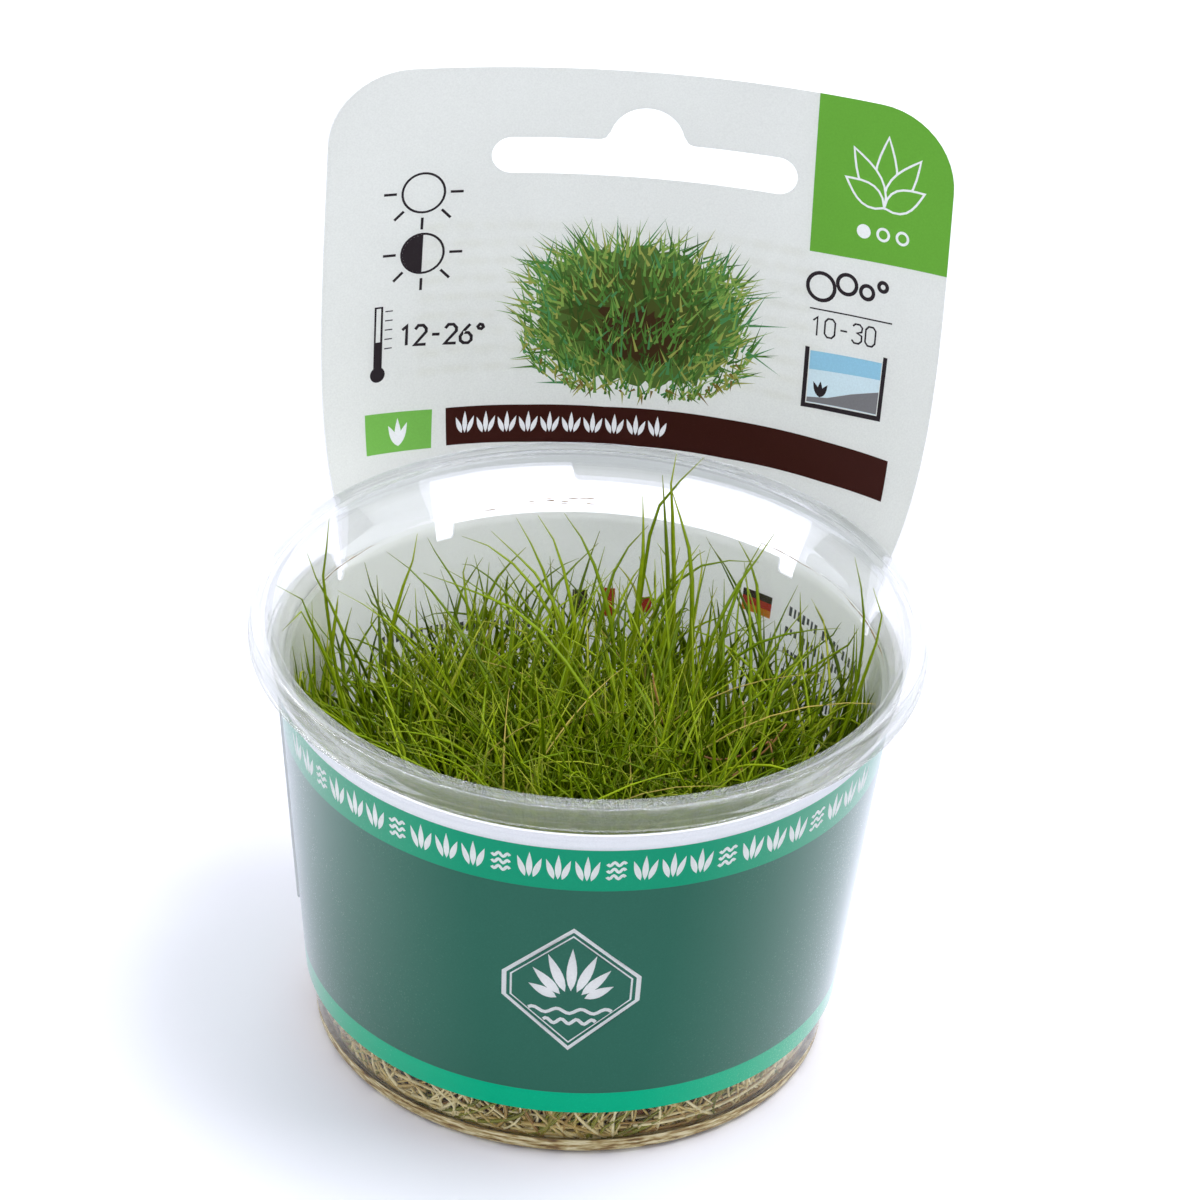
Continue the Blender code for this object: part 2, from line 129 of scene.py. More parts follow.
class Nodes:
    """Short calls for building one material's nodes. An item is a node's output, a colour or a number."""

    def __init__(self, name):
        self.material = bpy.data.materials.new(name)
        self.material.use_nodes = True
        self.tree = self.material.node_tree
        self.shader = self.tree.nodes["Principled BSDF"]

    def put(self, item, socket):
        if isinstance(item, bpy.types.NodeSocket):
            self.tree.links.new(item, socket)
        else:
            socket.default_value = (*item, 1.0) if isinstance(item, tuple) else item

    def add(self, kind, *items, **values):
        """A node: items go to its inputs in their order, values to its settings and to its inputs by name."""
        node = self.tree.nodes.new(kind)
        for key, value in values.items():
            if key.islower():
                setattr(node, key, value)
            else:
                self.put(value, node.inputs[key])
        for item, socket in zip(items, node.inputs):
            self.put(item, socket)
        return node

    def set(self, **values):
        for key, value in values.items():
            self.put(value, self.shader.inputs[key.replace("_", " ")])

    def attribute(self, name, output="Fac"):
        return self.add("ShaderNodeAttribute", attribute_name=name).outputs[output]

    def facing(self):
        return self.add("ShaderNodeLayerWeight", Blend=0.5).outputs["Facing"]

    def math(self, operation, first, second):
        return self.add("ShaderNodeMath", first, second, operation=operation).outputs[0]

    def ramp(self, factor, stops):
        node = self.add("ShaderNodeValToRGB", factor)
        ends = node.color_ramp.elements
        while len(ends) < len(stops):
            ends.new(0.5)
        for end, (place, colour) in zip(ends, stops):
            end.position = place
            end.color = (*colour, 1.0)
        return node.outputs["Color"]

    def noise(self, scale, detail=3.0, roughness=0.5, vector=None):
        if vector is None:
            vector = self.add("ShaderNodeTexCoord").outputs["Object"]
        node = self.add("ShaderNodeTexNoise", Vector=vector, Scale=scale, Detail=detail, Roughness=roughness)
        return node.outputs["Fac"]

    def range(self, value, low, high, new_low, new_high):
        return self.add("ShaderNodeMapRange", value, low, high, new_low, new_high).outputs["Result"]

    def spread(self, noise, new_low, new_high):
        """Stretches the middle part of a noise, where nearly all of it lies."""
        return self.range(noise, 0.3, 0.7, new_low, new_high)

    def mix(self, factor, first, second, blend="MIX"):
        node = self.add("ShaderNodeMix", data_type="RGBA", blend_type=blend)
        for item, number in ((factor, 0), (first, 6), (second, 7)):
            self.put(item, node.inputs[number])
        return node.outputs[2]

    def shaded(self, colour, factor):
        """A colour made darker or lighter by a factor."""
        grey = self.add("ShaderNodeCombineColor", factor, factor, factor).outputs[0]
        return self.mix(1.0, colour, grey, "MULTIPLY")

    def relief(self, noise, low, high, strength, distance):
        """Roughness from low to high, and bump, from one noise."""
        bump = self.add("ShaderNodeBump", Height=noise, Strength=strength, Distance=distance)
        self.set(Roughness=self.spread(noise, low, high), Normal=bump.outputs["Normal"])

    def surface(self, factor, first, second):
        """Shows a mix of two shaders."""
        both = self.add("ShaderNodeMixShader", factor, first, second).outputs[0]
        self.put(both, self.tree.nodes["Material Output"].inputs["Surface"])
        return self.material

    def glass(self, factor, tint):
        """Lets a share of the light go straight through the material."""
        through = self.add("ShaderNodeBsdfTransparent", tint).outputs[0]
        return self.surface(factor, self.shader.outputs[0], through)


def linear(*rgb):
    """Linear colour of an 8-bit screen colour."""
    return tuple((v / 255.0 / 12.92) if v <= 10 else ((v / 255.0 + 0.055) / 1.055) ** 2.4 for v in rgb)


def solid_plastic():
    """Clear plastic that bends what is seen through it: the rim. A part of the light goes straight through."""
    made = Nodes("clear_plastic_solid")
    made.set(Base_Color=(0.99, 0.995, 1.0), Transmission_Weight=1.0, IOR=1.42)
    made.relief(made.noise(90.0, 1.0), 0.02, 0.09, 0.05, 0.0002)
    return made.glass(0.56, (0.985, 0.99, 1.0))


def foot_with_painted_reflection():
    """The lowest edge of the cup. Its root-coloured streaks and brown tint are a painted reflection of the roots,
    which the thick clear corner mirrors up from the floor in the real cup.
    """
    made = Nodes("painted_root_reflection")
    apart = made.add("ShaderNodeSeparateXYZ", made.add("ShaderNodeTexCoord").outputs["Object"]).outputs
    turn = made.math("ARCTAN2", apart["Y"], apart["X"])
    around = made.add("ShaderNodeCombineXYZ", X=made.range(turn, -math.pi, math.pi, 0.0, 0.04),
                      Z=made.range(apart["Z"], 0.0, 0.002, 0.0, 0.003)).outputs[0]
    drawn = made.noise(1500.0, 3.0, 0.6, around)
    # Painted reflection of the roots: streaks in root colours, stretched round the cup
    colour = made.ramp(drawn, [(0.32, linear(88, 58, 30)), (0.42, linear(146, 116, 66)),
                               (0.5, linear(192, 172, 118)), (0.6, linear(234, 222, 180))])
    made.set(Base_Color=colour, Roughness=made.spread(drawn, 0.18, 0.3), IOR=1.46)
    # The brown tint of the light that goes through is part of the same painted reflection
    return made.glass(0.2, (0.86, 0.8, 0.66))


def clear_plastic(name, haze, tint):
    """Thin clear plastic: what is behind it shows through, and its gloss grows towards its edges."""
    made = Nodes(name)
    made.set(Base_Color=(0.96, 0.97, 1.0), Metallic=0.55)
    made.relief(made.noise(90.0, 1.0), 0.03, 0.12, 0.1, 0.0002)
    share = made.range(made.math("POWER", made.facing(), 4.5), 0.0, 1.0, haze, 0.9)
    through = made.add("ShaderNodeBsdfTransparent", tint).outputs[0]
    return made.surface(share, through, made.shader.outputs[0])


def printed_film():
    """The film's print: its colour comes with the faces, and some light comes through from behind."""
    made = Nodes("printed_film")
    cloud = made.spread(made.noise(60.0, 2.0), 0.985, 1.01)
    grain = made.spread(made.noise(5200.0, 2.0), 0.955, 1.03)
    both = made.math("MULTIPLY", cloud, grain)
    colour = made.shaded(made.attribute("ink", "Color"), both)
    facing = made.facing()
    made.set(Base_Color=colour, Roughness=made.range(both, 0.94, 1.04, 0.24, 0.28), IOR=1.56,
             Specular_IOR_Level=made.range(facing, 0.3, 0.75, 0.04, 0.8), Sheen_Roughness=0.35,
             Sheen_Weight=made.range(facing, 0.34, 0.86, 0.0, 0.95), Sheen_Tint=(0.88, 0.91, 1.0))
    glow = made.add("ShaderNodeBsdfTranslucent", colour).outputs[0]
    return made.surface(made.attribute("thin"), made.shader.outputs[0], glow)


def grass_material():
    """Leaf green that differs from blade to blade, paler at the foot and yellower at the tip."""
    made = Nodes("grass_green")
    body = made.ramp(made.attribute("tint"), [(0.0, (0.05, 0.088, 0.001)), (0.45, (0.14, 0.225, 0.002)),
                                              (0.85, (0.32, 0.43, 0.008)), (1.0, (0.5, 0.4, 0.1))])
    along = made.attribute("along")
    drawn = made.noise(1500.0, 2.0)
    body = made.shaded(body, made.spread(drawn, 0.86, 1.1))
    body = made.mix(made.range(along, 0.0, 0.16, 0.7, 0.0), body, (0.34, 0.33, 0.08))
    body = made.mix(made.range(along, 0.9, 1.0, 0.0, 0.35), body, (0.38, 0.34, 0.06))
    made.set(Base_Color=body, Specular_IOR_Level=0.16)
    made.relief(drawn, 0.3, 0.46, 0.15, 0.00005)
    return made.material


def root_material(name, roughness, *stops):
    """Fibre whose colour differs from strand to strand: each stop is a tint and an 8-bit screen colour."""
    made = Nodes(name)
    colour = made.ramp(made.attribute("tint"), [(tint, linear(*rgb)) for tint, *rgb in stops])
    drawn = made.noise(1100.0, 3.0)
    made.set(Base_Color=made.shaded(colour, made.spread(drawn, 0.78, 1.12)))
    made.relief(drawn, roughness - 0.12, roughness + 0.1, 0.3, 0.0001)
    return made.material


def floor_material():
    """A pale floor with a faint cloud in it."""
    made = Nodes("studio_floor")
    colour = made.ramp(made.noise(2.0, 3.0), [(0.3, (0.83, 0.84, 0.93)), (0.7, (0.86, 0.87, 0.955))])
    made.set(Base_Color=colour, Roughness=0.6, Specular_IOR_Level=0.2)
    return made.material


# ---- camera, light and floor


def make_camera():
    """The photograph's view."""
    lens = bpy.data.cameras.new("camera")
    lens.lens = 189.912
    lens.sensor_width = 36.0
    lens.clip_start = 0.05
    lens.clip_end = 20.0
    camera = bpy.data.objects.new("camera", lens)
    right = Vector((0.9914927, 0.1216441, 0.0463135))
    up = Vector((-0.1044761, 0.5315294, 0.8405720))
    back = Vector((0.0776336, -0.8382596, 0.5397165))
    place = Vector((51.389, -543.644, 401.027)) * MM
    rows = [(right[i], up[i], back[i], place[i]) for i in range(3)]
    camera.matrix_world = Matrix([*rows, (0.0, 0.0, 0.0, 1.0)])
    bpy.context.scene.collection.objects.link(camera)
    bpy.context.scene.camera = camera


LIGHTS_AIM = Vector((0.0, 0.0, 0.03))


def make_light(name, place, size, power):
    """A soft white panel that faces the object."""
    lamp = bpy.data.lights.new(name, "AREA")
    lamp.shape = "RECTANGLE"
    lamp.size, lamp.size_y = size
    lamp.energy = power
    item = bpy.data.objects.new(name, lamp)
    item.location = place
    item.rotation_euler = (LIGHTS_AIM - Vector(place)).to_track_quat("-Z", "Y").to_euler()
    bpy.context.scene.collection.objects.link(item)


def make_studio():
    """Plain soft light over a pale floor."""
    scene = bpy.context.scene
    scene.view_settings.view_transform = "Standard"
    scene.view_settings.look = "None"
    world = bpy.data.worlds.new("studio")
    world.use_nodes = True
    shade = world.node_tree.nodes["Background"]
    shade.inputs["Color"].default_value = (0.97, 0.98, 1.0, 1.0)
    shade.inputs["Strength"].default_value = 0.76
    scene.world = world
    make_light("key", (0.4, 0.05, 1.0), (0.55, 0.55), 8.0)
    make_light("fill", (-0.7, -0.3, 0.8), (0.7, 0.7), 2.0)
    make_light("back", (-0.2, 0.6, 0.8), (0.9, 0.5), 3.4)
    points = [(-2500.0, -2500.0, 0.0), (2500.0, -2500.0, 0.0), (2500.0, 2500.0, 0.0), (-2500.0, 2500.0, 0.0)]
    floor = piece_of("studio_floor", mesh_of("studio_floor", points, [(0, 1, 2, 3)]), [floor_material()])


# ---- cup

# The skirt's ribs, and where they are on the rim's section
RIBS, RIB_DEPTH, RIB_RADIUS, RIB_BOTTOM, RIB_TOP = 290, 0.05, 34.3, 46.3, 48.3
# Where the cup's material changes: the rim above, the low wall, and the foot, which carries a painted reflection of
# the roots, up to a height and outside a radius
RIM_START, LOW_END, FOOT_END, FOOT_RADIUS = 42.9, 8.5, 1.75, 24.8
# The upper faces of the inner ledge and of the floor
LEDGE_TOP, FLOOR_TOP = 43.6, 0.9
# The rim's section as (radius, height): up the outside, over the top and down the inside
RIM = [
    (31.19, 43.0), (31.33, 43.3), (31.62, 43.6), (31.9, 43.85), (32.06, 44.15), (32.16, 44.6), (32.5, 46.0),
    (32.86, 47.25), (32.98, 47.6), (33.2, 47.86), (33.5, 47.96), (33.8, 47.9), (34.02, 47.62), (34.16, 47.1),
    (34.3, 46.6), (34.37, 46.3), (34.46, 46.17), (34.62, 46.12), (34.84, 46.13), (34.96, 46.22), (35.0, 46.42),
    (34.97, 46.9), (34.96, 47.1), (35.03, 47.22), (35.03, 47.34), (34.93, 47.46), (34.88, 47.7), (34.84, 48.1),
    (34.8, 48.42), (34.7, 48.64), (34.5, 48.79), (34.2, 48.85), (33.9, 48.8), (33.66, 48.66), (33.45, 48.58),
    (33.1, 48.57), (32.8, 48.58), (32.6, 48.56), (32.48, 48.47), (32.41, 48.3), (32.32, 47.85), (31.95, 46.0),
    (31.58, 44.3), (31.46, 43.85), (31.25, 43.52), (30.95, 43.3), (30.68, 43.12), (30.56, 42.8),
]


def cup_section():
    """The wall's section as (radius, height): under the floor, up the outside, round the rim, down inside."""
    low = [(0.0, 0.0), (6.9, 0.0), (7.1, 0.06), (7.3, 0.2), (7.6, 0.3), (14.0, 0.3), (22.0, 0.3), (23.8, 0.29)]
    low += [(24.05, 0.2), (24.2, 0.08), (24.5, 0.01), (25.2, 0.0), (25.9, 0.02), (26.35, 0.16), (26.68, 0.45)]
    low += [(cup_outer(z), z) for z in (0.8, 1.4, 2.0, 4.0, 6.5, 12.0, 22.0, 32.0, 39.0, 42.0)]
    high = [(cup_inner(z), z) for z in (42.0, 39.0, 32.0, 22.0, 12.0, 6.5, 4.0, 2.0)]
    high += [(26.34, 1.6), (26.2, 1.25), (25.95, 1.0), (25.5, 0.9), (14.0, 0.9), (0.0, 0.9)]
    return low + RIM + high


def make_cup():
    """The clear cup, with the fine upright ribs on its skirt."""
    columns = RIBS * 2
    column = np.arange(columns)
    turn = column * 2.0 * math.pi / columns
    rings = []
    points = []
    for radius, z in cup_section():
        if radius == 0.0:
            rings.append([len(points)] * columns)
            points.append((0.0, 0.0, z))
            continue
        ribbed = radius > RIB_RADIUS and RIB_BOTTOM < z < RIB_TOP
        around = radius - RIB_DEPTH * ribbed * (column % 2)
        rings.append(list(range(len(points), len(points) + columns)))
        points += list(zip(around * np.cos(turn), around * np.sin(turn), np.full(columns, z)))
    faces = []
    for first, second in zip(rings, rings[1:]):
        for k in range(columns):
            after = (k + 1) % columns
            faces.append(list(dict.fromkeys([first[k], first[after], second[after], second[k]])))
    mesh = mesh_of("cup_clear", np.array(points), faces)
    low = clear_plastic("clear_plastic_low", 0.004, (0.985, 0.985, 0.98))
    wall = clear_plastic("clear_plastic_wall", 0.05, (0.995, 1.0, 0.99))
    cup = piece_of("cup_clear", mesh, [low, wall, solid_plastic(), foot_with_painted_reflection()])
    middles = np.empty(len(mesh.polygons) * 3, dtype=np.float32)
    mesh.polygons.foreach_get("center", middles)
    x, y, height = middles.reshape(-1, 3).T / MM
    kind = (height > LOW_END).astype(np.int32) + (height > RIM_START)
    # The foot's faces take the painted reflection of the roots
    kind[(height < FOOT_END) & (np.hypot(x, y) > FOOT_RADIUS)] = 3
    mesh.polygons.foreach_set("material_index", kind.astype(np.int32))
    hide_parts("cup")
    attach(cup, "root")


# ---- printed sheet


def sheet_points(angle, z):
    """Places of the sheet's inner face, from the angles round the cup and the heights."""
    angle = np.asarray(angle, dtype=float)
    z = np.asarray(z, dtype=float)
    turn = np.radians(angle)
    band = cup_outer(z) + SHEET_GAP
    radius = band + FLARE * smooth(z, FLARE_START, BAND_TOP)
    radius = radius + np.where(angle < 0.0, LAP_PROUD * smooth(-angle, -LAP_START, -LAP_STEP_ANGLE), 0.0)
    wrapped = np.stack([radius * np.sin(turn), radius * np.cos(turn), z], axis=-1)
    hugging = SKIRT_RADIUS + SHEET_GAP
    out = smooth(z, STEP_OUT_START, STEP_OUT_END)
    behind = 1.0 - smooth(np.abs(angle), TAB_OUT_ANGLE, TAB_IN_ANGLE)
    out = np.where(z > BAND_TOP_AT_WINDOW + 0.05, out + (1.0 - out) * behind, out)
    unbend = 1.0 - np.exp(-np.maximum(z - UNBEND_START, 0.0) / UNBEND_RATE)
    width = (cup_outer(np.minimum(z, STEP_OUT_START)) + SHEET_GAP) * (1.0 + STEP_OUT_WIDER * out)
    width = width * (1.0 + (CARD_TOP_WIDTH - 1.0) * smooth(z, STEP_OUT_END, CARD_TOP))
    bend = np.where(z < STEP_OUT_END, band + (hugging - band) * out, hugging)
    radius = 1.0 / ((1.0 - unbend) / bend + unbend / CARD_FLAT_RADIUS)
    share = width * turn / radius
    x = radius * np.sin(share)
    rise = smooth(z, STEP_OUT_END, CARD_TOP)
    y = bend - radius * (1.0 - np.cos(share)) + (CARD_LEAN + CARD_TWIST * x) * rise
    card = np.stack([x, y, z], axis=-1)
    on_card = np.abs(angle) < 0.5 * (CARD_HALF_ANGLE + SLIT_ANGLE)
    return np.where(on_card[..., None], card, wrapped)


def sheet_normals(angle, z):
    """Directions away from the sheet's inner face, towards its outer face."""
    step = 0.02
    along = sheet_points(angle + step, z) - sheet_points(angle - step, z)
    up = sheet_points(angle, z + step) - sheet_points(angle, z - step)
    across = np.cross(up, along)
    return across / np.linalg.norm(across, axis=1)[:, None]


def card_angle(x, z):
    """Angle on the card of a place given by X and height."""
    unbend = 1.0 - math.exp(-max(z - UNBEND_START, 0.0) / UNBEND_RATE)
    width = (cup_outer(STEP_OUT_START) + SHEET_GAP) * (1.0 + STEP_OUT_WIDER)
    width *= 1.0 + (CARD_TOP_WIDTH - 1.0) * float(smooth(z, STEP_OUT_END, CARD_TOP))
    radius = 1.0 / ((1.0 - unbend) / (SKIRT_RADIUS + SHEET_GAP) + unbend / CARD_FLAT_RADIUS)
    return math.degrees(math.asin(x / radius) * radius / width)


def dense(points, step=0.9):
    """Adds points along a closed line, so that it follows the bends."""
    out = []
    for first, second in zip(points, points[1:] + points[:1]):
        count = max(1, math.ceil(math.dist(first, second) / step))
        for k in range(count):
            t = k / count
            out.append((first[0] + (second[0] - first[0]) * t, first[1] + (second[1] - first[1]) * t))
    return out


def toward(start, reach, direction):
    """The point at a distance from another one, in a direction in degrees."""
    a = math.radians(direction)
    return (start[0] + reach * math.cos(a), start[1] + reach * math.sin(a))


def arc(centre, radius, start, end, count):
    """Points on an arc, by angles in degrees."""
    return [toward(centre, radius, start + (end - start) * k / count) for k in range(count + 1)]


def area_of(outline):
    """Twice the area inside an outline, negative where it runs clockwise."""
    return sum(a[0] * b[1] - b[0] * a[1] for a, b in zip(outline, outline[1:] + outline[:1]))


def spot(angle, z):
    """A place on the flat sheet in mm."""
    return (angle * PER_DEGREE, z)


def flat(places):
    """Places on the flat sheet in mm, from (angle, height) pairs."""
    return [spot(*place) for place in places]


def mirrored(points):
    """The same points on the other side of the middle, in reverse."""
    return [(-x, z) for x, z in reversed(points)]


def sheet_outline():
    """The sheet's outer edge on the flat, anticlockwise, from the lap's lower corner."""
    edge = [(LAP_END + 1.6, LAP_BOTTOM), (LAP_STEP_ANGLE - 1.6, LAP_BOTTOM), (LAP_STEP_ANGLE, LAP_BOTTOM - 0.9)]
    edge += [(LAP_STEP_ANGLE, BAND_BOTTOM + 0.8), (LAP_STEP_ANGLE + 1.4, BAND_BOTTOM), (INNER_END, BAND_BOTTOM)]
    half = [(SLIT_ANGLE + 0.8, BAND_TOP), (SLIT_ANGLE, BAND_TOP - 0.5), (SLIT_ANGLE, SLIT_BOTTOM + 0.4)]
    half += [(SLIT_ANGLE - 0.5, SLIT_BOTTOM), (CARD_HALF_ANGLE + 0.5, SLIT_BOTTOM)]
    half += [(CARD_HALF_ANGLE, SLIT_BOTTOM + 0.4)]
    side = float(sheet_points(CARD_HALF_ANGLE, CARD_TOP)[0])
    corner = arc((side - CARD_CORNER, CARD_TOP - CARD_CORNER), CARD_CORNER, 0.0, 90.0, 12)
    half += [(min(card_angle(x, z), CARD_HALF_ANGLE), z) for x, z in corner]
    edge += [(INNER_END, BAND_TOP)] + half + mirrored(half) + [(LAP_END + 1.4, BAND_TOP), (LAP_END, BAND_TOP - 0.8)]
    edge += [(LAP_END, LAP_BOTTOM + 0.9)]
    return flat(edge)


def window_outline():
    """The cut-out round the flange, with its tab and corner notches."""
    side = []
    for k in range(9):
        z = NOTCH_BOTTOM + (WINDOW_TOP - NOTCH_BOTTOM) * k / 8.0
        rise = float(smooth(z, NOTCH_BOTTOM, WINDOW_TOP))
        side.append((WINDOW_LOW_ANGLE + (WINDOW_TOP_ANGLE - WINDOW_LOW_ANGLE) * rise, z))
    half = [(NOTCH_INNER_ANGLE, BAND_TOP_AT_WINDOW), (NOTCH_INNER_ANGLE, NOTCH_BOTTOM + 0.3)]
    half += [(NOTCH_INNER_ANGLE + 0.5, NOTCH_BOTTOM)] + side
    half += [(TAB_TOP_ANGLE + 0.5, WINDOW_TOP), (TAB_TOP_ANGLE, WINDOW_TOP - 0.3)]
    half += [(TAB_LOW_ANGLE, TAB_BOTTOM + 0.5), (TAB_LOW_ANGLE - 0.9, TAB_BOTTOM)]
    return flat(half + mirrored(half))


def slot_outline():
    """The hang slot, with round ends and a hump at the middle of its top."""
    half = SLOT_WIDTH / 2.0
    end = SLOT_HEIGHT / 2.0
    top = SLOT_BOTTOM + SLOT_HEIGHT
    right = arc((half - end, SLOT_BOTTOM + end), end, -90.0, 90.0, 14)
    right += [(HUMP_RADIUS + 0.9, top), (HUMP_RADIUS + 0.35, top + 0.22), (HUMP_RADIUS + 0.08, top + 0.7)]
    right += arc((0.0, top), HUMP_RADIUS, 14.0, 90.0, 10)
    return flat([(card_angle(x, z), z) for x, z in right + mirrored(right[:-1])])


# Colours of the print, as screen colours
PALE = linear(236, 238, 233)
INK = linear(48, 42, 46)
STRIP = linear(62, 30, 26)
CORNER_GREEN = linear(107, 173, 62)
BOX_GREEN = linear(124, 190, 88)
WHITE = linear(250, 251, 252)
MARGIN = linear(244, 245, 249)
TEAL = linear(24, 151, 114)
DARK_GREEN = linear(50, 104, 88)
BRIGHT_GREEN = linear(2, 176, 131)
BACK_PALE = linear(252, 253, 249)
WATER = linear(152, 205, 232)
WATER_PALE = linear(214, 236, 246)
GRAVEL = linear(128, 128, 132)
RED = linear(196, 50, 40)
TICK = linear(74, 76, 84)
BAR = linear(232, 232, 228)
PATCH_DARK = linear(52, 36, 36)
PATCH_ORANGE = linear(222, 132, 34)

# Plain figures as lines, on a field 1.1 wide and 2 high
DIGITS = {
    "0": [(0.0, 0.35), (0.0, 1.65), (0.3, 2.0), (0.8, 2.0), (1.1, 1.65), (1.1, 0.35), (0.8, 0.0), (0.3, 0.0),
          (0.0, 0.35)],
    "1": [(0.2, 1.6), (0.65, 2.0), (0.65, 0.0)],
    "2": [(0.0, 1.6), (0.3, 2.0), (0.8, 2.0), (1.1, 1.65), (1.1, 1.3), (0.0, 0.0), (1.1, 0.0)],
    "3": [(0.05, 1.75), (0.3, 2.0), (0.8, 2.0), (1.1, 1.7), (1.05, 1.25), (0.55, 1.08), (1.08, 0.85), (1.1, 0.3),
          (0.8, 0.0), (0.3, 0.0), (0.0, 0.3)],
    "6": [(0.95, 2.0), (0.4, 1.35), (0.0, 0.7), (0.05, 0.25), (0.35, 0.0), (0.8, 0.0), (1.1, 0.3), (1.1, 0.75),
          (0.8, 1.1), (0.3, 1.1)],
    "-": [(0.2, 1.0), (0.95, 1.0)],
    "o": [(0.2, 1.75), (0.4, 2.0), (0.65, 1.95), (0.75, 1.7), (0.55, 1.5), (0.3, 1.55), (0.2, 1.75)],
}


def stroke(line, width):
    """Outline of a line of the given width on the flat."""
    closed = len(line) > 3 and math.dist(line[0], line[-1]) < 1e-6
    points = line[:-1] if closed else line
    count = len(points)
    left = []
    right = []
    for i in range(count):
        before = points[(i - 1) % count] if closed or i else points[i]
        after = points[(i + 1) % count] if closed or i < count - 1 else points[i]
        first = Vector((points[i][0] - before[0], points[i][1] - before[1]))
        second = Vector((after[0] - points[i][0], after[1] - points[i][1]))
        first = first.normalized() if first.length > 0.0 else second.normalized()
        second = second.normalized() if second.length > 0.0 else first
        middle = (first + second).normalized()
        spread = width / 2.0 / max(middle.dot(first), 0.5)
        left.append((points[i][0] - middle.y * spread, points[i][1] + middle.x * spread))
        right.append((points[i][0] + middle.y * spread, points[i][1] - middle.x * spread))
    if closed:
        return [left, right]
    return [left + right[::-1]]


class Print:
    """What is printed on the sheet: shapes on the flat, each on a side, in the order that they are laid down."""

    def __init__(self):
        self.shapes = []
        self.side = "in"

    def lay(self, colour, points):
        self.shapes.append((self.side, colour, points))

    def area(self, colour, places):
        self.lay(colour, dense(flat(places)))

    def box(self, colour, left, low, right, high):
        self.area(colour, [(left, low), (right, low), (right, high), (left, high)])

    def disc(self, colour, centre, radius, end, count):
        self.lay(colour, arc(centre, radius, 0.0, end, count))

    def line(self, colour, line, width, under=None):
        """A line; a closed one is laid as its outer shape with the ground colour laid in it."""
        shapes = sorted(stroke(line, width), key=lambda shape: -abs(area_of(shape)))
        for ink, shape in zip((colour, under), shapes):
            self.lay(ink, shape)

    def number(self, text, start, height, slope, width):
        """Plain figures along a line that rises by slope."""
        x, z = start
        scale = height / 2.0
        for sign in text:
            placed = [(x + px * scale, z + pz * scale + slope * px * scale) for px, pz in DIGITS[sign]]
            self.line(INK, placed, width, PALE)
            x += 1.5 * scale
            z += 1.5 * scale * slope

    def sprig(self, foot, tall, short, width, apart, lean, count):
        """Three white leaves side by side."""
        for side, length in ((0.0, tall), (1.0, short), (-1.0, short)):
            place = (foot[0] + apart * side, foot[1])
            self.lay(WHITE, leaf(place, length, width, 90.0 - lean * side, count))

    def wave(self, middle, half, height, pace, count, width):
        """A white wavy line."""
        x, z = middle
        places = [(x + half * (2.0 * u / count - 1.0), z + height * math.sin(u * pace)) for u in range(count + 1)]
        self.line(WHITE, places, width)


def leaf(foot, length, width, direction, count=7):
    """A leaf shape on the flat, from its foot towards a direction in degrees."""
    left = []
    right = []
    for k in range(count + 1):
        middle = toward(foot, length * (k / count), direction)
        half = 0.5 * width * math.sin(math.pi * (k / count) ** 0.8)
        left.append(toward(middle, half, direction + 90.0))
        right.append(toward(middle, half, direction - 90.0))
    return right + left[::-1][1:-1]


def spike(foot, length, width, direction):
    """A slim pointed triangle: a fine printed blade."""
    return [toward(foot, width, direction - 90.0), toward(foot, length, direction),
            toward(foot, width, direction + 90.0)]


def sun(prints, centre, half):
    """A sun with short rays, empty or half filled."""
    for a in (0.0, 180.0, 225.0, 270.0, 315.0):
        prints.line(INK, [toward(centre, 2.9, a), toward(centre, 4.3, a)], 0.3)
    prints.disc(INK, centre, 2.42, 352.0, 30)
    prints.disc(PALE, centre, 2.16, 352.0, 30)
    if half:
        prints.lay(INK, arc(centre, 2.16, 90.0, 270.0, 16))


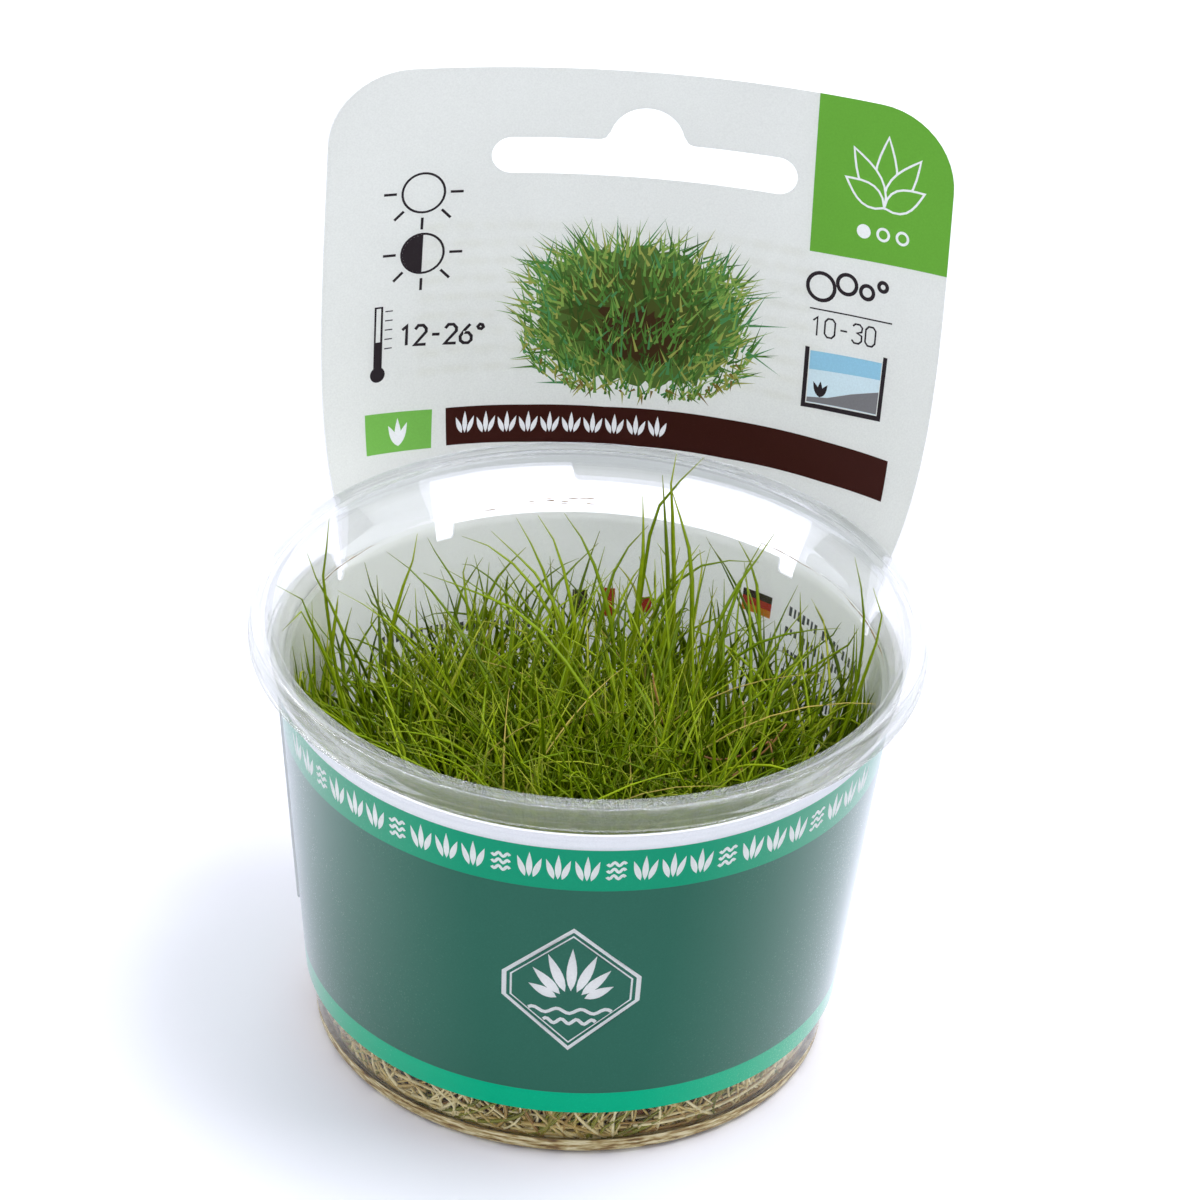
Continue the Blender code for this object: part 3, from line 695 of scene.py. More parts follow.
def card_prints(prints):
    """The card's front: signs for light, warmth, bubbles and water, a green corner and a dark strip."""
    sun(prints, spot(-42.4, 78.5), False)
    sun(prints, spot(-42.0, 71.4), True)
    prints.line(INK, flat([(-50.0, 58.6), (-50.0, 65.6)]), 0.95)
    prints.line(PALE, flat([(-50.0, 61.6), (-50.0, 65.4)]), 0.5)
    prints.disc(INK, spot(-50.0, 58.0), 0.85, 340.0, 16)
    for k in range(5):
        z = 60.8 + 1.05 * k
        prints.line(INK, flat([(-48.7, z), (-47.2, z)]), 0.13)
    prints.number("12-26o", spot(-45.6, 60.9), 2.2, -0.05, 0.34)
    prints.area(CORNER_GREEN, [(33.0, 74.8), (40.0, 74.95), (50.0, 75.3), (61.5, 75.75), (61.5, 93.0), (33.0, 93.0)])
    for lean, length in ((90.0, 8.0), (58.0, 7.2), (122.0, 7.2), (30.0, 5.2), (150.0, 5.2)):
        shape = leaf(spot(47.4, 81.4), length, 2.5, lean)
        prints.line(WHITE, shape + shape[:1], 0.24, CORNER_GREEN)
    for k in range(3):
        centre = spot(43.6 + 4.0 * k, 78.3 + 0.1 * k)
        prints.disc(WHITE, centre, 0.8, 342.0, 18)
        if k:
            prints.disc(CORNER_GREEN, centre, 0.5, 342.0, 16)
    for angle, z, radius in ((35.8, 70.4, 1.75), (41.0, 71.1, 1.3), (45.2, 70.6, 0.95), (48.4, 71.5, 0.7)):
        centre = spot(angle, z + 0.0005 * angle * angle)
        prints.disc(INK, centre, radius, 350.0, 24)
        prints.disc(PALE, centre, radius - 0.42, 350.0, 22)
    prints.line(INK, flat([(33.8, 68.4), (42.0, 68.65), (50.9, 69.0)]), 0.16)
    prints.number("10-30", spot(34.3, 65.4), 2.1, 0.07, 0.2)
    tank_print(prints)
    prints.area(BOX_GREEN, [(-52.8, 49.7), (-39.0, 48.9), (-38.8, 53.2), (-52.7, 53.9)])
    for lean, length in ((65.0, 2.6), (90.0, 3.0), (115.0, 2.6)):
        prints.lay(WHITE, leaf(spot(-45.9, 49.9), length, 0.75, lean))
    strip = [(-35.9, 48.88), (-19.8, 48.29), (-4.9, 48.06), (19.2, 48.70), (40.0, 49.75), (54.4, 50.77)]
    strip += [(53.9, 54.85), (40.0, 54.15), (18.6, 53.37), (-5.3, 52.77), (-20.1, 52.83), (-36.1, 53.15)]
    prints.area(STRIP, strip)
    for k in range(10):
        angle = -32.2 + 4.15 * k
        prints.sprig(spot(angle, 49.45 + 0.0012 * (angle + 10.0) ** 2), 2.5, 2.0, 0.52, 0.32, 20.0, 6)


def tank_print(prints):
    """A small aquarium sign: a glass tank with water and a sloping bed with a sprig."""
    left, right, bottom, top, rise = 33.9, 50.2, 57.4, 65.2, 1.2

    def shape(*shares):
        """Places by their shares of the tank's width and height; its level lines rise to the right."""
        return [(left + (right - left) * u, bottom + (top - bottom - rise) * v + rise * u) for u, v in shares]

    prints.area(WATER_PALE, shape((0.04, 0.05), (0.96, 0.05), (0.96, 0.62), (0.04, 0.62)))
    prints.area(WATER, shape((0.04, 0.62), (0.96, 0.62), (0.96, 0.9), (0.04, 0.94)))
    prints.area(GRAVEL, shape((0.04, 0.06), (0.96, 0.06), (0.96, 0.42), (0.6, 0.3), (0.3, 0.17), (0.04, 0.14)))
    for lean in (62.0, 90.0, 118.0):
        prints.lay(INK, leaf(spot(*shape((0.2, 0.16))[0]), 1.8, 0.6, lean))
    prints.line(INK, flat(shape((0.0, 1.0), (0.0, 0.0), (1.0, 0.0), (1.0, 1.0))), 0.5)


PICTURE_BLADES, PICTURE_ROOTS, MOTIFS = 1120, 70, 26


def plant_picture(prints):
    """A printed picture of a low cushion of grass: a dark heart, fine blades over all of it, roots below."""
    chance = random.Random(11)
    x0, z0 = spot(0.2, 64.1)

    def place(a, wide, tall, lift=0.0):
        across, up = [math.copysign(abs(v) ** 0.78, v) for v in (math.cos(a), math.sin(a))]
        return x0 + wide * across, z0 + lift + tall * up

    def ragged(wide, tall, lift, depth, count):
        rough = [chance.uniform(1.0 - depth, 1.0) for _ in range(count)]
        return [place(2.0 * math.pi * k / count, wide * part, tall * part, lift) for k, part in enumerate(rough)]

    prints.lay(linear(84, 110, 54), ragged(11.7, 8.6, 0.0, 0.13, 150))
    prints.lay(linear(74, 84, 40), ragged(9.4, 6.8, 0.0, 0.3, 90))
    prints.lay(linear(66, 48, 30), ragged(5.8, 4.2, -2.2, 0.45, 60))
    greens = [linear(*rgb) for rgb in ((56, 82, 36), (66, 104, 46), (84, 130, 58), (104, 148, 70), (134, 166, 80),
                                       (156, 164, 84), (78, 138, 84))]
    for _ in range(PICTURE_BLADES):
        a = chance.uniform(0.0, 2.0 * math.pi)
        reach = chance.uniform(0.0, 1.0) ** 0.42
        x, z = place(a, 12.6 * reach, 9.3 * reach)
        lean = 90.0 - 4.0 * (x - x0) + chance.gauss(0.0, 26.0)
        length = chance.uniform(1.5, 3.3) * (1.4 if reach > 0.75 and math.sin(a) > -0.2 else 1.0)
        shade = chance.choice(greens[1:] if reach > 0.6 or chance.uniform(0.0, 1.0) < 0.35 else greens[:3])
        prints.lay(shade, spike((x, z - 0.8), length, chance.uniform(0.1, 0.19), lean))
    tans = [linear(*rgb) for rgb in ((150, 150, 70), (122, 104, 52), (92, 122, 50), (168, 170, 96))]
    for _ in range(PICTURE_ROOTS):
        a = math.radians(chance.uniform(196.0, 344.0))
        foot = place(a, 12.6 * chance.uniform(0.85, 1.0), 9.6 * chance.uniform(0.9, 1.0))
        shade = chance.choice(tans)
        lean = math.degrees(a) + chance.uniform(-60.0, 60.0)
        prints.lay(shade, spike(foot, chance.uniform(0.9, 1.7), 0.15, lean))


def sleeve_prints(prints):
    """The sleeve's outside: a teal stripe with motifs, a dark green field and a bright foot."""
    prints.side = "out"
    for start, end in ((LAP_END, -FIELD_ANGLE), (FIELD_ANGLE, INNER_END)):
        for colour, low, high in ((DARK_GREEN, 6.5, 36.5), (TEAL, 36.5, 41.8), (BRIGHT_GREEN, 6.5, 9.2)):
            prints.box(colour, start, low, end, high)
    for k in range(MOTIFS):
        x, z = spot(108.8 + 5.3 * k, 37.8)
        if k % 4 == 3:
            for lift in (0.55, 1.4, 2.25):
                prints.wave((x, z + lift), 0.95, 0.22, 0.79, 16, 0.34)
        else:
            prints.sprig((x, z), 3.2, 2.7, 0.66, 0.42, 18.0, 8)
    emblem_print(prints)


def emblem_print(prints):
    """A plain lozenge with a fan of blades over two waves."""
    x, z = spot(174.2, 23.3)
    corners = [(0.0, -8.2), (7.6, -1.6), (7.6, 1.6), (0.0, 8.2), (-7.6, 1.6), (-7.6, -1.6)]
    for size, colour in ((1.0, WHITE), (0.93, DARK_GREEN), (0.88, WHITE), (0.85, DARK_GREEN)):
        prints.lay(colour, [(x + u * size, z + v * size) for u, v in corners])
    for lean, length in ((0.0, 5.7), (22.0, 5.3), (-22.0, 5.3), (43.0, 4.5), (-43.0, 4.5), (63.0, 3.5), (-63.0, 3.5)):
        foot = toward((x, z - 1.9), 1.7, 90.0 - lean)
        prints.lay(WHITE, leaf(foot, length, 1.15, 90.0 - lean))
    prints.wave((x, z - 2.9), 4.6, 0.3, 0.9, 24, 0.42)
    prints.wave((x, z - 4.3), 2.9, 0.3, 0.9, 24, 0.42)


def inside_prints(prints):
    """The sleeve's inside behind the grass: rows of short plain bars and a few plain patches."""
    chance = random.Random(5)
    prints.side = "in"
    for row in range(5):
        for start, end, top, slope in ((-53.0, -22.0, 30.2, -0.07), (37.0, 63.0, 36.0, -0.03)):
            angle = start + chance.uniform(0.0, 2.0)
            while angle < end:
                for _ in range(chance.randint(3, 7)):
                    z = top - 2.5 * row + slope * (angle - start)
                    wide = chance.uniform(0.5, 0.85)
                    prints.box(TICK, angle, z + chance.choice((0.0, 0.0, 0.35)), angle + wide, z + 1.1)
                    angle += wide + 0.55
                angle += 1.1
    for k, colour in ((2, PATCH_DARK), (1, RED), (0, PATCH_ORANGE)):
        low, high = 34.2 + 0.85 * k, 34.2 + 0.85 * (k + 1)
        prints.area(colour, [(26.6, low), (33.6, low + 0.2), (33.6, high + 0.2), (26.6, high)])
    prints.box(RED, -2.6, 29.6, -0.4, 33.0)
    prints.box(RED, 4.2, 30.6, 7.2, 32.4)
    prints.box(PATCH_DARK, -9.0, 29.4, -6.0, 32.6)


def back_prints(prints):
    """The card's back: a plain block of short bars."""
    chance = random.Random(9)
    prints.side = "out"
    for row in range(9):
        z = 74.0 - 2.1 * row
        angle = -42.0
        while angle < 34.0:
            length = chance.uniform(2.5, 7.0)
            prints.box(BAR, angle, z, angle + length, z + 0.8)
            angle += length + 1.4


# The sheet's loose grid of points, and the cells in which the nearest point is looked for, in mm
GRID_STEP, CELL = 1.4, 0.5
# A pale ink's darkest part, and the share of light that comes through pale film and through inked film
PALE_INK, LIGHT_THROUGH_PALE, LIGHT_THROUGH_INK = 0.7, 0.5, 0.1


def lay_out(shapes):
    """The flat sheet's points, with a loose grid between them, and the points' numbers on each outline."""
    points = []
    outlines = []
    edges = [dense(sheet_outline(), 0.8), dense(window_outline(), 0.8), dense(slot_outline(), 0.6)]
    for outline in edges + [outline for _, _, outline in shapes]:
        outlines.append(list(range(len(points), len(points) + len(outline))))
        points.extend(outline if area_of(outline) > 0.0 else outline[::-1])
    cells = {}
    for s, z in points:
        cells.setdefault((int(s // CELL), int(z // CELL)), []).append((s, z))
    for s in np.arange(LAP_END * PER_DEGREE + 0.5, INNER_END * PER_DEGREE - 0.3, GRID_STEP):
        for z in np.arange(BAND_BOTTOM + 0.6, CARD_TOP - 0.4, GRID_STEP):
            if z >= BAND_TOP - 0.3 and abs(s) >= CARD_HALF_ANGLE * PER_DEGREE:
                continue
            i, j = int(s // CELL), int(z // CELL)
            near = [p for di in (-1, 0, 1) for dj in (-1, 0, 1) for p in cells.get((i + di, j + dj), ())]
            if all((s - p[0]) ** 2 + (z - p[1]) ** 2 > 0.2 for p in near):
                points.append((s, z))
    return points, outlines


def cut_out(shapes):
    """The flat sheet in triangles: points, their numbers by triangle, and each triangle's two colours."""
    points, outlines = lay_out(shapes)
    found = delaunay_2d_cdt([Vector(p) for p in points], [], outlines, 1, 1e-5, True)
    places, triangles, owners = found[0], found[2], found[5]
    kept = []
    inks = {"in": [], "out": []}
    for corners, owner in zip(triangles, owners):
        if 0 not in owner or 1 in owner or 2 in owner:
            continue
        kept.append(corners)
        on_card = sum(places[c].y for c in corners) / 3.0 >= WINDOW_TOP
        ink = {"in": PALE if on_card else BACK_PALE, "out": MARGIN}
        for number in sorted(owner)[1:]:
            side, colour, _ = shapes[number - 3]
            ink[side] = colour
        for side, colour in ink.items():
            inks[side].append(colour)
    used = sorted({c for corners in kept for c in corners})
    number_of = {old: new for new, old in enumerate(used)}
    return [places[c] for c in used], [[number_of[c] for c in corners] for corners in kept], inks


def make_sheet():
    """The sheet: one flat layout cut along its edges and prints, bent into place, with its thickness."""
    prints = Print()
    for lay in (card_prints, plant_picture, sleeve_prints, inside_prints, back_prints):
        lay(prints)
    places, kept, inks = cut_out(prints.shapes)
    angle = np.array([place.x for place in places]) / PER_DEGREE
    height = np.array([place.y for place in places])
    inner = sheet_points(angle, height)
    away = sheet_normals(angle, height)
    count = len(places)
    edges = dict.fromkeys(edge for corners in kept for edge in zip(corners, corners[1:] + corners[:1]))
    rim = [(a, b) for a, b in edges if (b, a) not in edges]
    faces = kept + [[c + count for c in reversed(corners)] for corners in kept]
    faces += [[b, a, a + count, b + count] for a, b in rim]
    mesh = mesh_of("printed_sheet", np.concatenate([inner, inner + away * SHEET]), faces)
    colours = np.concatenate([np.repeat(inks["in"] + inks["out"], 3, axis=0), np.tile(MARGIN, (4 * len(rim), 1))])
    ink = mesh.attributes.new("ink", "FLOAT_COLOR", "CORNER")
    ink.data.foreach_set("color", np.insert(colours, 3, 1.0, axis=1).astype(np.float32).ravel())
    clear = [min(shade) > PALE_INK and abs(angle[corners[0]]) < FIELD_ANGLE
             for corners, shade in zip(kept, inks["in"])]
    clear += [min(shade) > PALE_INK for shade in inks["out"]]
    clear = np.concatenate([np.repeat(clear, 3), np.zeros(4 * len(rim), dtype=bool)])
    store(mesh, "thin", np.where(clear, LIGHT_THROUGH_PALE, LIGHT_THROUGH_INK), "CORNER")
    normals = [-away[c] for corners in kept for c in corners]
    normals += [away[c] for corners in kept for c in reversed(corners)]
    for a, b in rim:
        side = Vector(np.cross(inner[a] - inner[b], away[a])).normalized()
        normals += [side] * 4
    mesh.normals_split_custom_set([tuple(normal) for normal in normals])
    sheet = piece_of("printed_sheet", mesh, [printed_film()])
    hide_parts("wrap_card")
    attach(sheet, "root")


# ---- strands: blades and roots


def strands(name, paths, radii, sides, tints, flatness=1.0):
    """Closed tapering tubes along many paths at once: paths (N, P, 3), radii (N, P), sides (N, 3)."""
    count, steps = radii.shape
    along = np.gradient(paths, axis=1)
    along /= np.linalg.norm(along, axis=2)[..., None] + 1e-9
    side = np.repeat(sides[:, None, :], steps, axis=1)
    side = side - along * np.sum(side * along, axis=2)[..., None]
    side /= np.linalg.norm(side, axis=2)[..., None] + 1e-9
    wide = radii[..., None] * side
    thin = radii[..., None] * flatness * np.cross(along, side)
    points = np.stack([paths + wide, paths + thin, paths - wide, paths - thin], axis=2).reshape(-1, 3)
    base = (np.arange(count * steps) * 4).reshape(count, steps)
    low, high = base[:, :-1], base[:, 1:]
    quads = []
    for k in range(4):
        after = (k + 1) % 4
        quads.append(np.stack([low + k, low + after, high + after, high + k], axis=-1).reshape(-1, 4))
    quads = np.concatenate(quads + [base[:, :1] + np.array([3, 2, 1, 0]), base[:, -1:] + np.arange(4)])
    mesh = mesh_of_arrays(name, points, quads.ravel().astype(np.int32), np.full(len(quads), 4))
    store(mesh, "tint", np.repeat(tints, steps * 4))
    store(mesh, "along", np.tile(np.repeat(np.linspace(0.0, 1.0, steps), 4), count))
    return mesh


# Heights on the lip, and how far from the axis a blade may be there
LIP_HEIGHTS, LIP_RADII = (43.0, 43.6, 44.4, 48.4), (30.18, 30.45, 30.95, 31.9)


def wall_limit(z):
    """How far from the axis a blade may be at a height: inside the wall, then inside the lip."""
    wall = cup_inner(np.minimum(z, LIP_HEIGHTS[0])) - 0.4
    return np.where(z < LIP_HEIGHTS[0], wall, np.interp(z, LIP_HEIGHTS, LIP_RADII))


def tuft_places():
    """Middles of the tufts, as in the solids."""
    places = [(0.0, 0.0)]
    for ring, count in ((1, 6), (2, 12)):
        for k in range(count):
            turn = 2.0 * math.pi * k / count
            reach = ring * TUFT_PITCH
            if ring == 2 and k % 2:
                reach *= 0.955
            places.append((reach * math.cos(turn), reach * math.sin(turn)))
    return places


BLADES_PER_TUFT, ARCHES_PER_TUFT, DRY_PER_TUFT = 118, 7, 2
BLADE_STEPS = 15
STEPS = np.linspace(0.0, 1.0, BLADE_STEPS)
BLADE_LENGTH, SHORTER_AT_EDGE = 35.0, 4.0
LEAN_SHAPE, LEAN_SCALE, LEAN_LEAST, LEAN_MOST = 3.0, 16.5, 8.0, 125.0  # of the tips, in degrees
CROWN_REACH, CROWN_TOP = 5.8, TUFT_FLOOR - 0.3

# The tall blades: points in mm from where each leaves the mass of the grass to its tip
TALL_BLADES = [
    [(6.9, 20.0, 42.2), (6.6, 20.5, 45.3), (6.2, 21.0, 49.8), (5.8, 21.5, 53.7), (6.2, 22.0, 56.0)],
    [(3.7, 19.0, 41.6), (4.2, 20.4, 47.9), (5.3, 21.1, 51.0), (7.2, 21.8, 53.4), (9.1, 22.5, 55.6)],
    [(6.4, 19.0, 41.9), (5.9, 19.8, 46.2), (5.4, 20.7, 49.9), (4.9, 21.5, 53.5)],
    [(3.5, 18.0, 42.7), (3.6, 19.0, 46.4), (3.2, 20.0, 49.2), (3.0, 21.0, 51.0)],
    [(9.2, 17.0, 41.3), (8.7, 18.1, 45.6), (7.8, 19.2, 48.2), (6.7, 20.4, 50.5), (5.9, 21.5, 52.0)],
    [(0.1, 16.0, 40.8), (0.6, 17.5, 43.0), (2.1, 19.0, 46.0), (3.8, 20.5, 47.7)],
    [(7.8, 17.0, 43.6), (8.5, 19.0, 45.4), (9.3, 21.0, 45.7)],
    [(13.9, 16.0, 44.1), (15.5, 18.0, 46.2), (17.2, 20.0, 48.7)],
    [(14.1, 16.0, 44.1), (14.8, 18.0, 45.6), (15.9, 20.0, 47.3)],
    [(9.2, 19.0, 43.9), (12.3, 18.5, 45.6), (15.9, 18.0, 46.2)],
    [(27.9, 8.0, 44.1), (27.7, 8.3, 47.8), (27.1, 8.7, 50.9), (26.3, 9.0, 53.7)],
    [(29.0, 3.0, 45.2), (29.8, 3.0, 49.2), (29.7, 3.0, 51.5), (28.7, 3.0, 54.0)],
    [(16.8, 10.0, 41.2), (21.2, 9.0, 43.9), (25.5, 8.0, 45.5)],
    [(-27.6, 2.0, 46.2), (-28.0, 2.1, 50.0), (-27.6, 2.1, 53.2), (-27.5, 2.2, 56.1)],
    [(-27.3, 2.0, 46.2), (-28.7, 1.8, 49.0), (-29.6, 1.5, 52.0)],
    [(-28.6, -1.0, 45.2), (-30.0, -1.0, 48.4), (-32.4, -1.0, 49.3)],
    [(-28.7, -3.0, 46.5), (-29.4, -3.7, 48.2), (-30.6, -4.3, 47.8), (-31.0, -5.0, 46.4)],
    [(-21.3, 12.0, 40.7), (-20.2, 13.2, 44.5), (-19.9, 14.5, 47.5)],
    [(-8.2, 14.0, 43.9), (-12.3, 15.5, 46.2), (-15.5, 17.0, 46.2)],
    [(-6.7, 14.0, 43.7), (-9.4, 15.5, 45.5), (-12.4, 17.0, 47.2)],
    [(-6.3, 15.0, 43.7), (-8.2, 16.5, 46.7), (-9.9, 18.0, 48.5)],
    [(-4.2, 15.0, 44.0), (-5.9, 16.8, 47.4), (-7.7, 18.5, 48.8)],
    [(-0.5, 15.0, 43.8), (-2.6, 17.0, 47.1), (-5.0, 19.0, 49.1)],
    [(-5.3, 14.0, 42.5), (-3.3, 16.0, 44.7), (-1.1, 18.0, 46.5)],
    [(-0.7, 0.0, 41.0), (-7.0, 4.0, 45.4), (-13.1, 8.0, 45.3), (-18.8, 12.0, 44.3)],
]


def spline(points, count):
    """Evenly spread points on a smooth curve through the given ones."""
    ends = [2.0 * points[0] - points[1]] + list(points) + [2.0 * points[-1] - points[-2]]
    fine = []
    for k in range(1, len(ends) - 2):
        a, b, c, d = ends[k - 1:k + 3]
        for u in np.linspace(0.0, 1.0, 12, endpoint=False):
            fine.append(0.5 * (2.0 * b + (c - a) * u + (2.0 * a - 5.0 * b + 4.0 * c - d) * u * u
                               + (3.0 * b - a - 3.0 * c + d) * u ** 3))
    fine = np.array(fine + [ends[-2]])
    run = np.concatenate([[0.0], np.cumsum(np.linalg.norm(np.diff(fine, axis=0), axis=1))])
    want = np.linspace(0.0, run[-1], count)
    return np.stack([np.interp(want, run, fine[:, i]) for i in range(3)], axis=-1)


def tall_paths(number, places):
    """Paths of the tall blades that grow from this tuft."""
    paths = []
    for line in TALL_BLADES:
        low = np.array(line[0])
        foot = low[:2] * 0.8 * min(1.0, 24.0 / max(math.hypot(*low[:2]), 1e-6))
        nearest = min(range(len(places)), key=lambda k: math.dist(places[k], foot))
        if nearest != number - 1:
            continue
        start = np.array([foot[0], foot[1], TUFT_FLOOR - 0.2])
        reach = 0.9 * np.linalg.norm(low - start)
        first = np.array([0.1 * foot[0], 0.1 * foot[1], 10.0])
        first *= reach / np.linalg.norm(first)
        last = np.array(line[1]) - low
        last[2] = max(last[2], 0.6 * math.hypot(last[0], last[1]))
        last *= reach / np.linalg.norm(last)
        stem = []
        for u in (0.0, 0.2, 0.4, 0.6, 0.8):
            stem.append((2.0 * u ** 3 - 3.0 * u ** 2 + 1.0) * start + (u ** 3 - 2.0 * u ** 2 + u) * first
                        + (3.0 * u ** 2 - 2.0 * u ** 3) * low + (u ** 3 - u ** 2) * last)
        paths.append(spline(stem + [np.array(point) for point in line], BLADE_STEPS))
    paths = np.array(paths).reshape(-1, BLADE_STEPS, 3)
    radius = np.hypot(paths[..., 0], paths[..., 1])
    limit = np.where(paths[..., 2] < LEDGE_TOP, wall_limit(paths[..., 2]) - 0.06, np.inf)
    paths[..., :2] *= np.minimum(1.0, limit / np.maximum(radius, 1e-6))[..., None]
    return paths


def blade_paths(place, count, chance, bend=1.0):
    """Arching blades of one tuft: each leaves the crown almost upright and leans over more and more."""
    edge = math.hypot(*place) / (2.0 * TUFT_PITCH)
    turn = chance.uniform(0.0, 2.0 * math.pi, count)
    reach = CROWN_REACH * np.sqrt(chance.uniform(0.0, 1.0, count))
    x = place[0] + reach * np.cos(turn)
    y = place[1] + reach * np.sin(turn)
    heading = turn + chance.normal(0.0, 1.3, count)
    last = np.radians(np.clip(chance.gamma(LEAN_SHAPE, LEAN_SCALE, count) * bend, LEAN_LEAST, LEAN_MOST))
    first = np.radians(chance.uniform(1.0, 16.0, count))
    length = (BLADE_LENGTH - SHORTER_AT_EDGE * edge) * np.clip(chance.normal(0.97, 0.14, count), 0.5, 1.2)
    length *= 1.0 - 0.15 * smooth(place[1] - 0.25 * place[0], 2.0, 20.0)
    length *= 1.0 + 0.22 * np.clip(last - 0.6, 0.0, 1.2)
    power = chance.uniform(1.1, 2.3, count)
    twist = chance.normal(0.0, 0.38, count)
    lean = first[:, None] + (last - first)[:, None] * STEPS[None, :] ** power[:, None]
    way = heading[:, None] + twist[:, None] * STEPS[None, :]
    pace = length[:, None] / (BLADE_STEPS - 1)
    run = [np.sin(lean) * np.cos(way) * pace, np.sin(lean) * np.sin(way) * pace, np.cos(lean) * pace]
    zero = np.zeros((count, 1))
    px, py, pz = [np.concatenate([zero, np.cumsum(0.5 * (d[:, 1:] + d[:, :-1]), axis=1)], axis=1) for d in run]
    px, py, pz = px + x[:, None], py + y[:, None], pz + CROWN_TOP
    spread = 1.0 + (cup_inner(pz) / cup_inner(ROOT_TOP) - 1.0) * 0.8
    px, py = px * spread, py * spread
    pull = np.minimum(1.0, wall_limit(pz) / np.maximum(np.hypot(px, py), 1e-6))
    return np.stack([px * pull, py * pull, np.maximum(pz, CROWN_TOP)], axis=-1)


# Dead threads: points in mm along each
DEAD_THREADS = [
    [(9.0, 2.0, 30.5), (11.0, 2.6, 31.6), (14.0, 2.8, 31.0), (17.0, 3.4, 31.8), (19.5, 4.4, 33.2)],
    [(15.5, 1.0, 30.0), (17.2, 2.2, 31.2), (19.4, 3.6, 33.0), (20.8, 4.6, 35.2)],
    [(8.0, 4.0, 34.0), (7.4, 4.4, 36.0), (6.8, 4.6, 38.0), (6.5, 4.8, 39.6)],
    [(20.0, -1.0, 28.0), (19.3, 0.5, 30.0), (19.8, 1.6, 32.5), (19.2, 2.6, 34.4)],
    [(6.0, -2.0, 30.6), (7.8, -2.4, 31.2), (9.8, -2.2, 31.0), (12.4, -1.4, 31.6)],
    [(16.8, 3.0, 31.4), (16.4, 3.6, 33.6), (16.5, 4.2, 35.8), (16.0, 4.6, 37.4)],
    [(-21.0, -6.0, 30.4), (-19.4, -7.2, 31.4), (-17.0, -7.6, 31.0), (-15.4, -8.4, 30.2)],
]


def dead_threads():
    """Curled brown threads caught in the grass, one piece."""
    paths = np.array([spline(np.array(line), BLADE_STEPS) for line in DEAD_THREADS])
    radii = np.array([0.19 - 0.08 * STEPS + 0.03 * np.sin(9.0 * STEPS + k) for k in range(len(paths))])
    tints = np.linspace(0.1, 1.0, len(paths))
    brown = root_material("dead_brown", 0.5, (0.0, 150, 98, 56), (0.5, 184, 134, 82), (1.0, 212, 176, 122))
    threads = piece_of("dead_threads", strands("dead_threads", paths, radii, across_of(paths), tints), [brown])
    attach(threads, "root")


# The residue's long lines run along the ledge here, and the specks lie on the slope above it
SMEAR_RADIUS, SMEAR_HEIGHT, SPECKS = 30.86, 43.16, 14


def ledge_residue():
    """Thin brown lines and specks left by the growing medium on the cup's inner ledge, one piece."""
    chance = np.random.default_rng(60)
    paths = []
    radii = []

    def trace(a, radius, z, thick):
        paths.append(np.stack([radius * np.sin(a), radius * np.cos(a), z], axis=-1))
        radii.append(thick)

    for start, end, thick in ((-75.0, -52.0, 0.085), (27.0, 46.0, 0.07), (52.0, 80.0, 0.1), (-28.0, -25.0, 0.09)):
        trace(np.radians(start + (end - start) * STEPS), SMEAR_RADIUS + 0.05 * np.sin(17.0 * STEPS),
              SMEAR_HEIGHT + 0.04 * np.sin(23.0 * STEPS),
              thick * (0.75 + 0.35 * np.sin(31.0 * STEPS + start)) * np.sin(math.pi * np.clip(STEPS, 0.03, 0.97)))
    for start in chance.uniform(-19.0, -7.0, SPECKS):
        length = chance.uniform(0.7, 2.4)
        a = np.radians(start + length * STEPS)
        z = chance.uniform(43.3, 43.75)
        radius = np.interp(z, (43.1, 43.3, 43.5, 43.9), (30.64, 30.9, 31.2, 31.42))
        trace(a, radius, z + 0.1 * np.sin(9.0 * a),
              chance.uniform(0.04, 0.08) * np.sin(math.pi * np.linspace(0.08, 0.92, BLADE_STEPS)))
    tints = chance.uniform(0.0, 1.0, len(paths))
    up = np.tile(np.array([0.0, 0.0, 1.0]), (len(paths), 1))
    brown = root_material("residue_brown", 0.5, (0.0, 140, 112, 76), (1.0, 198, 170, 126))
    mesh = strands("ledge_residue", np.array(paths), np.array(radii), up, tints)
    lines = piece_of("ledge_residue", mesh, [brown])
    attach(lines, "root")


def blade_radii(blades, chance, low, high):
    """Half widths along the blades: nearly even, with a fine tip."""
    shape = (1.1 - 0.3 * STEPS) * np.clip((1.0 - STEPS) * 5.0, 0.0, 1.0) ** 0.7
    return chance.uniform(low, high, len(blades))[:, None] * np.maximum(shape, 0.12)[None, :]


def across_of(paths):
    """A level direction across each path, for the wide side of a blade."""
    lean = paths[:, -1] - paths[:, 0]
    side = np.stack([-lean[:, 1], lean[:, 0], np.zeros(len(paths))], axis=-1)
    return side / (np.linalg.norm(side, axis=1)[:, None] + 1e-6)


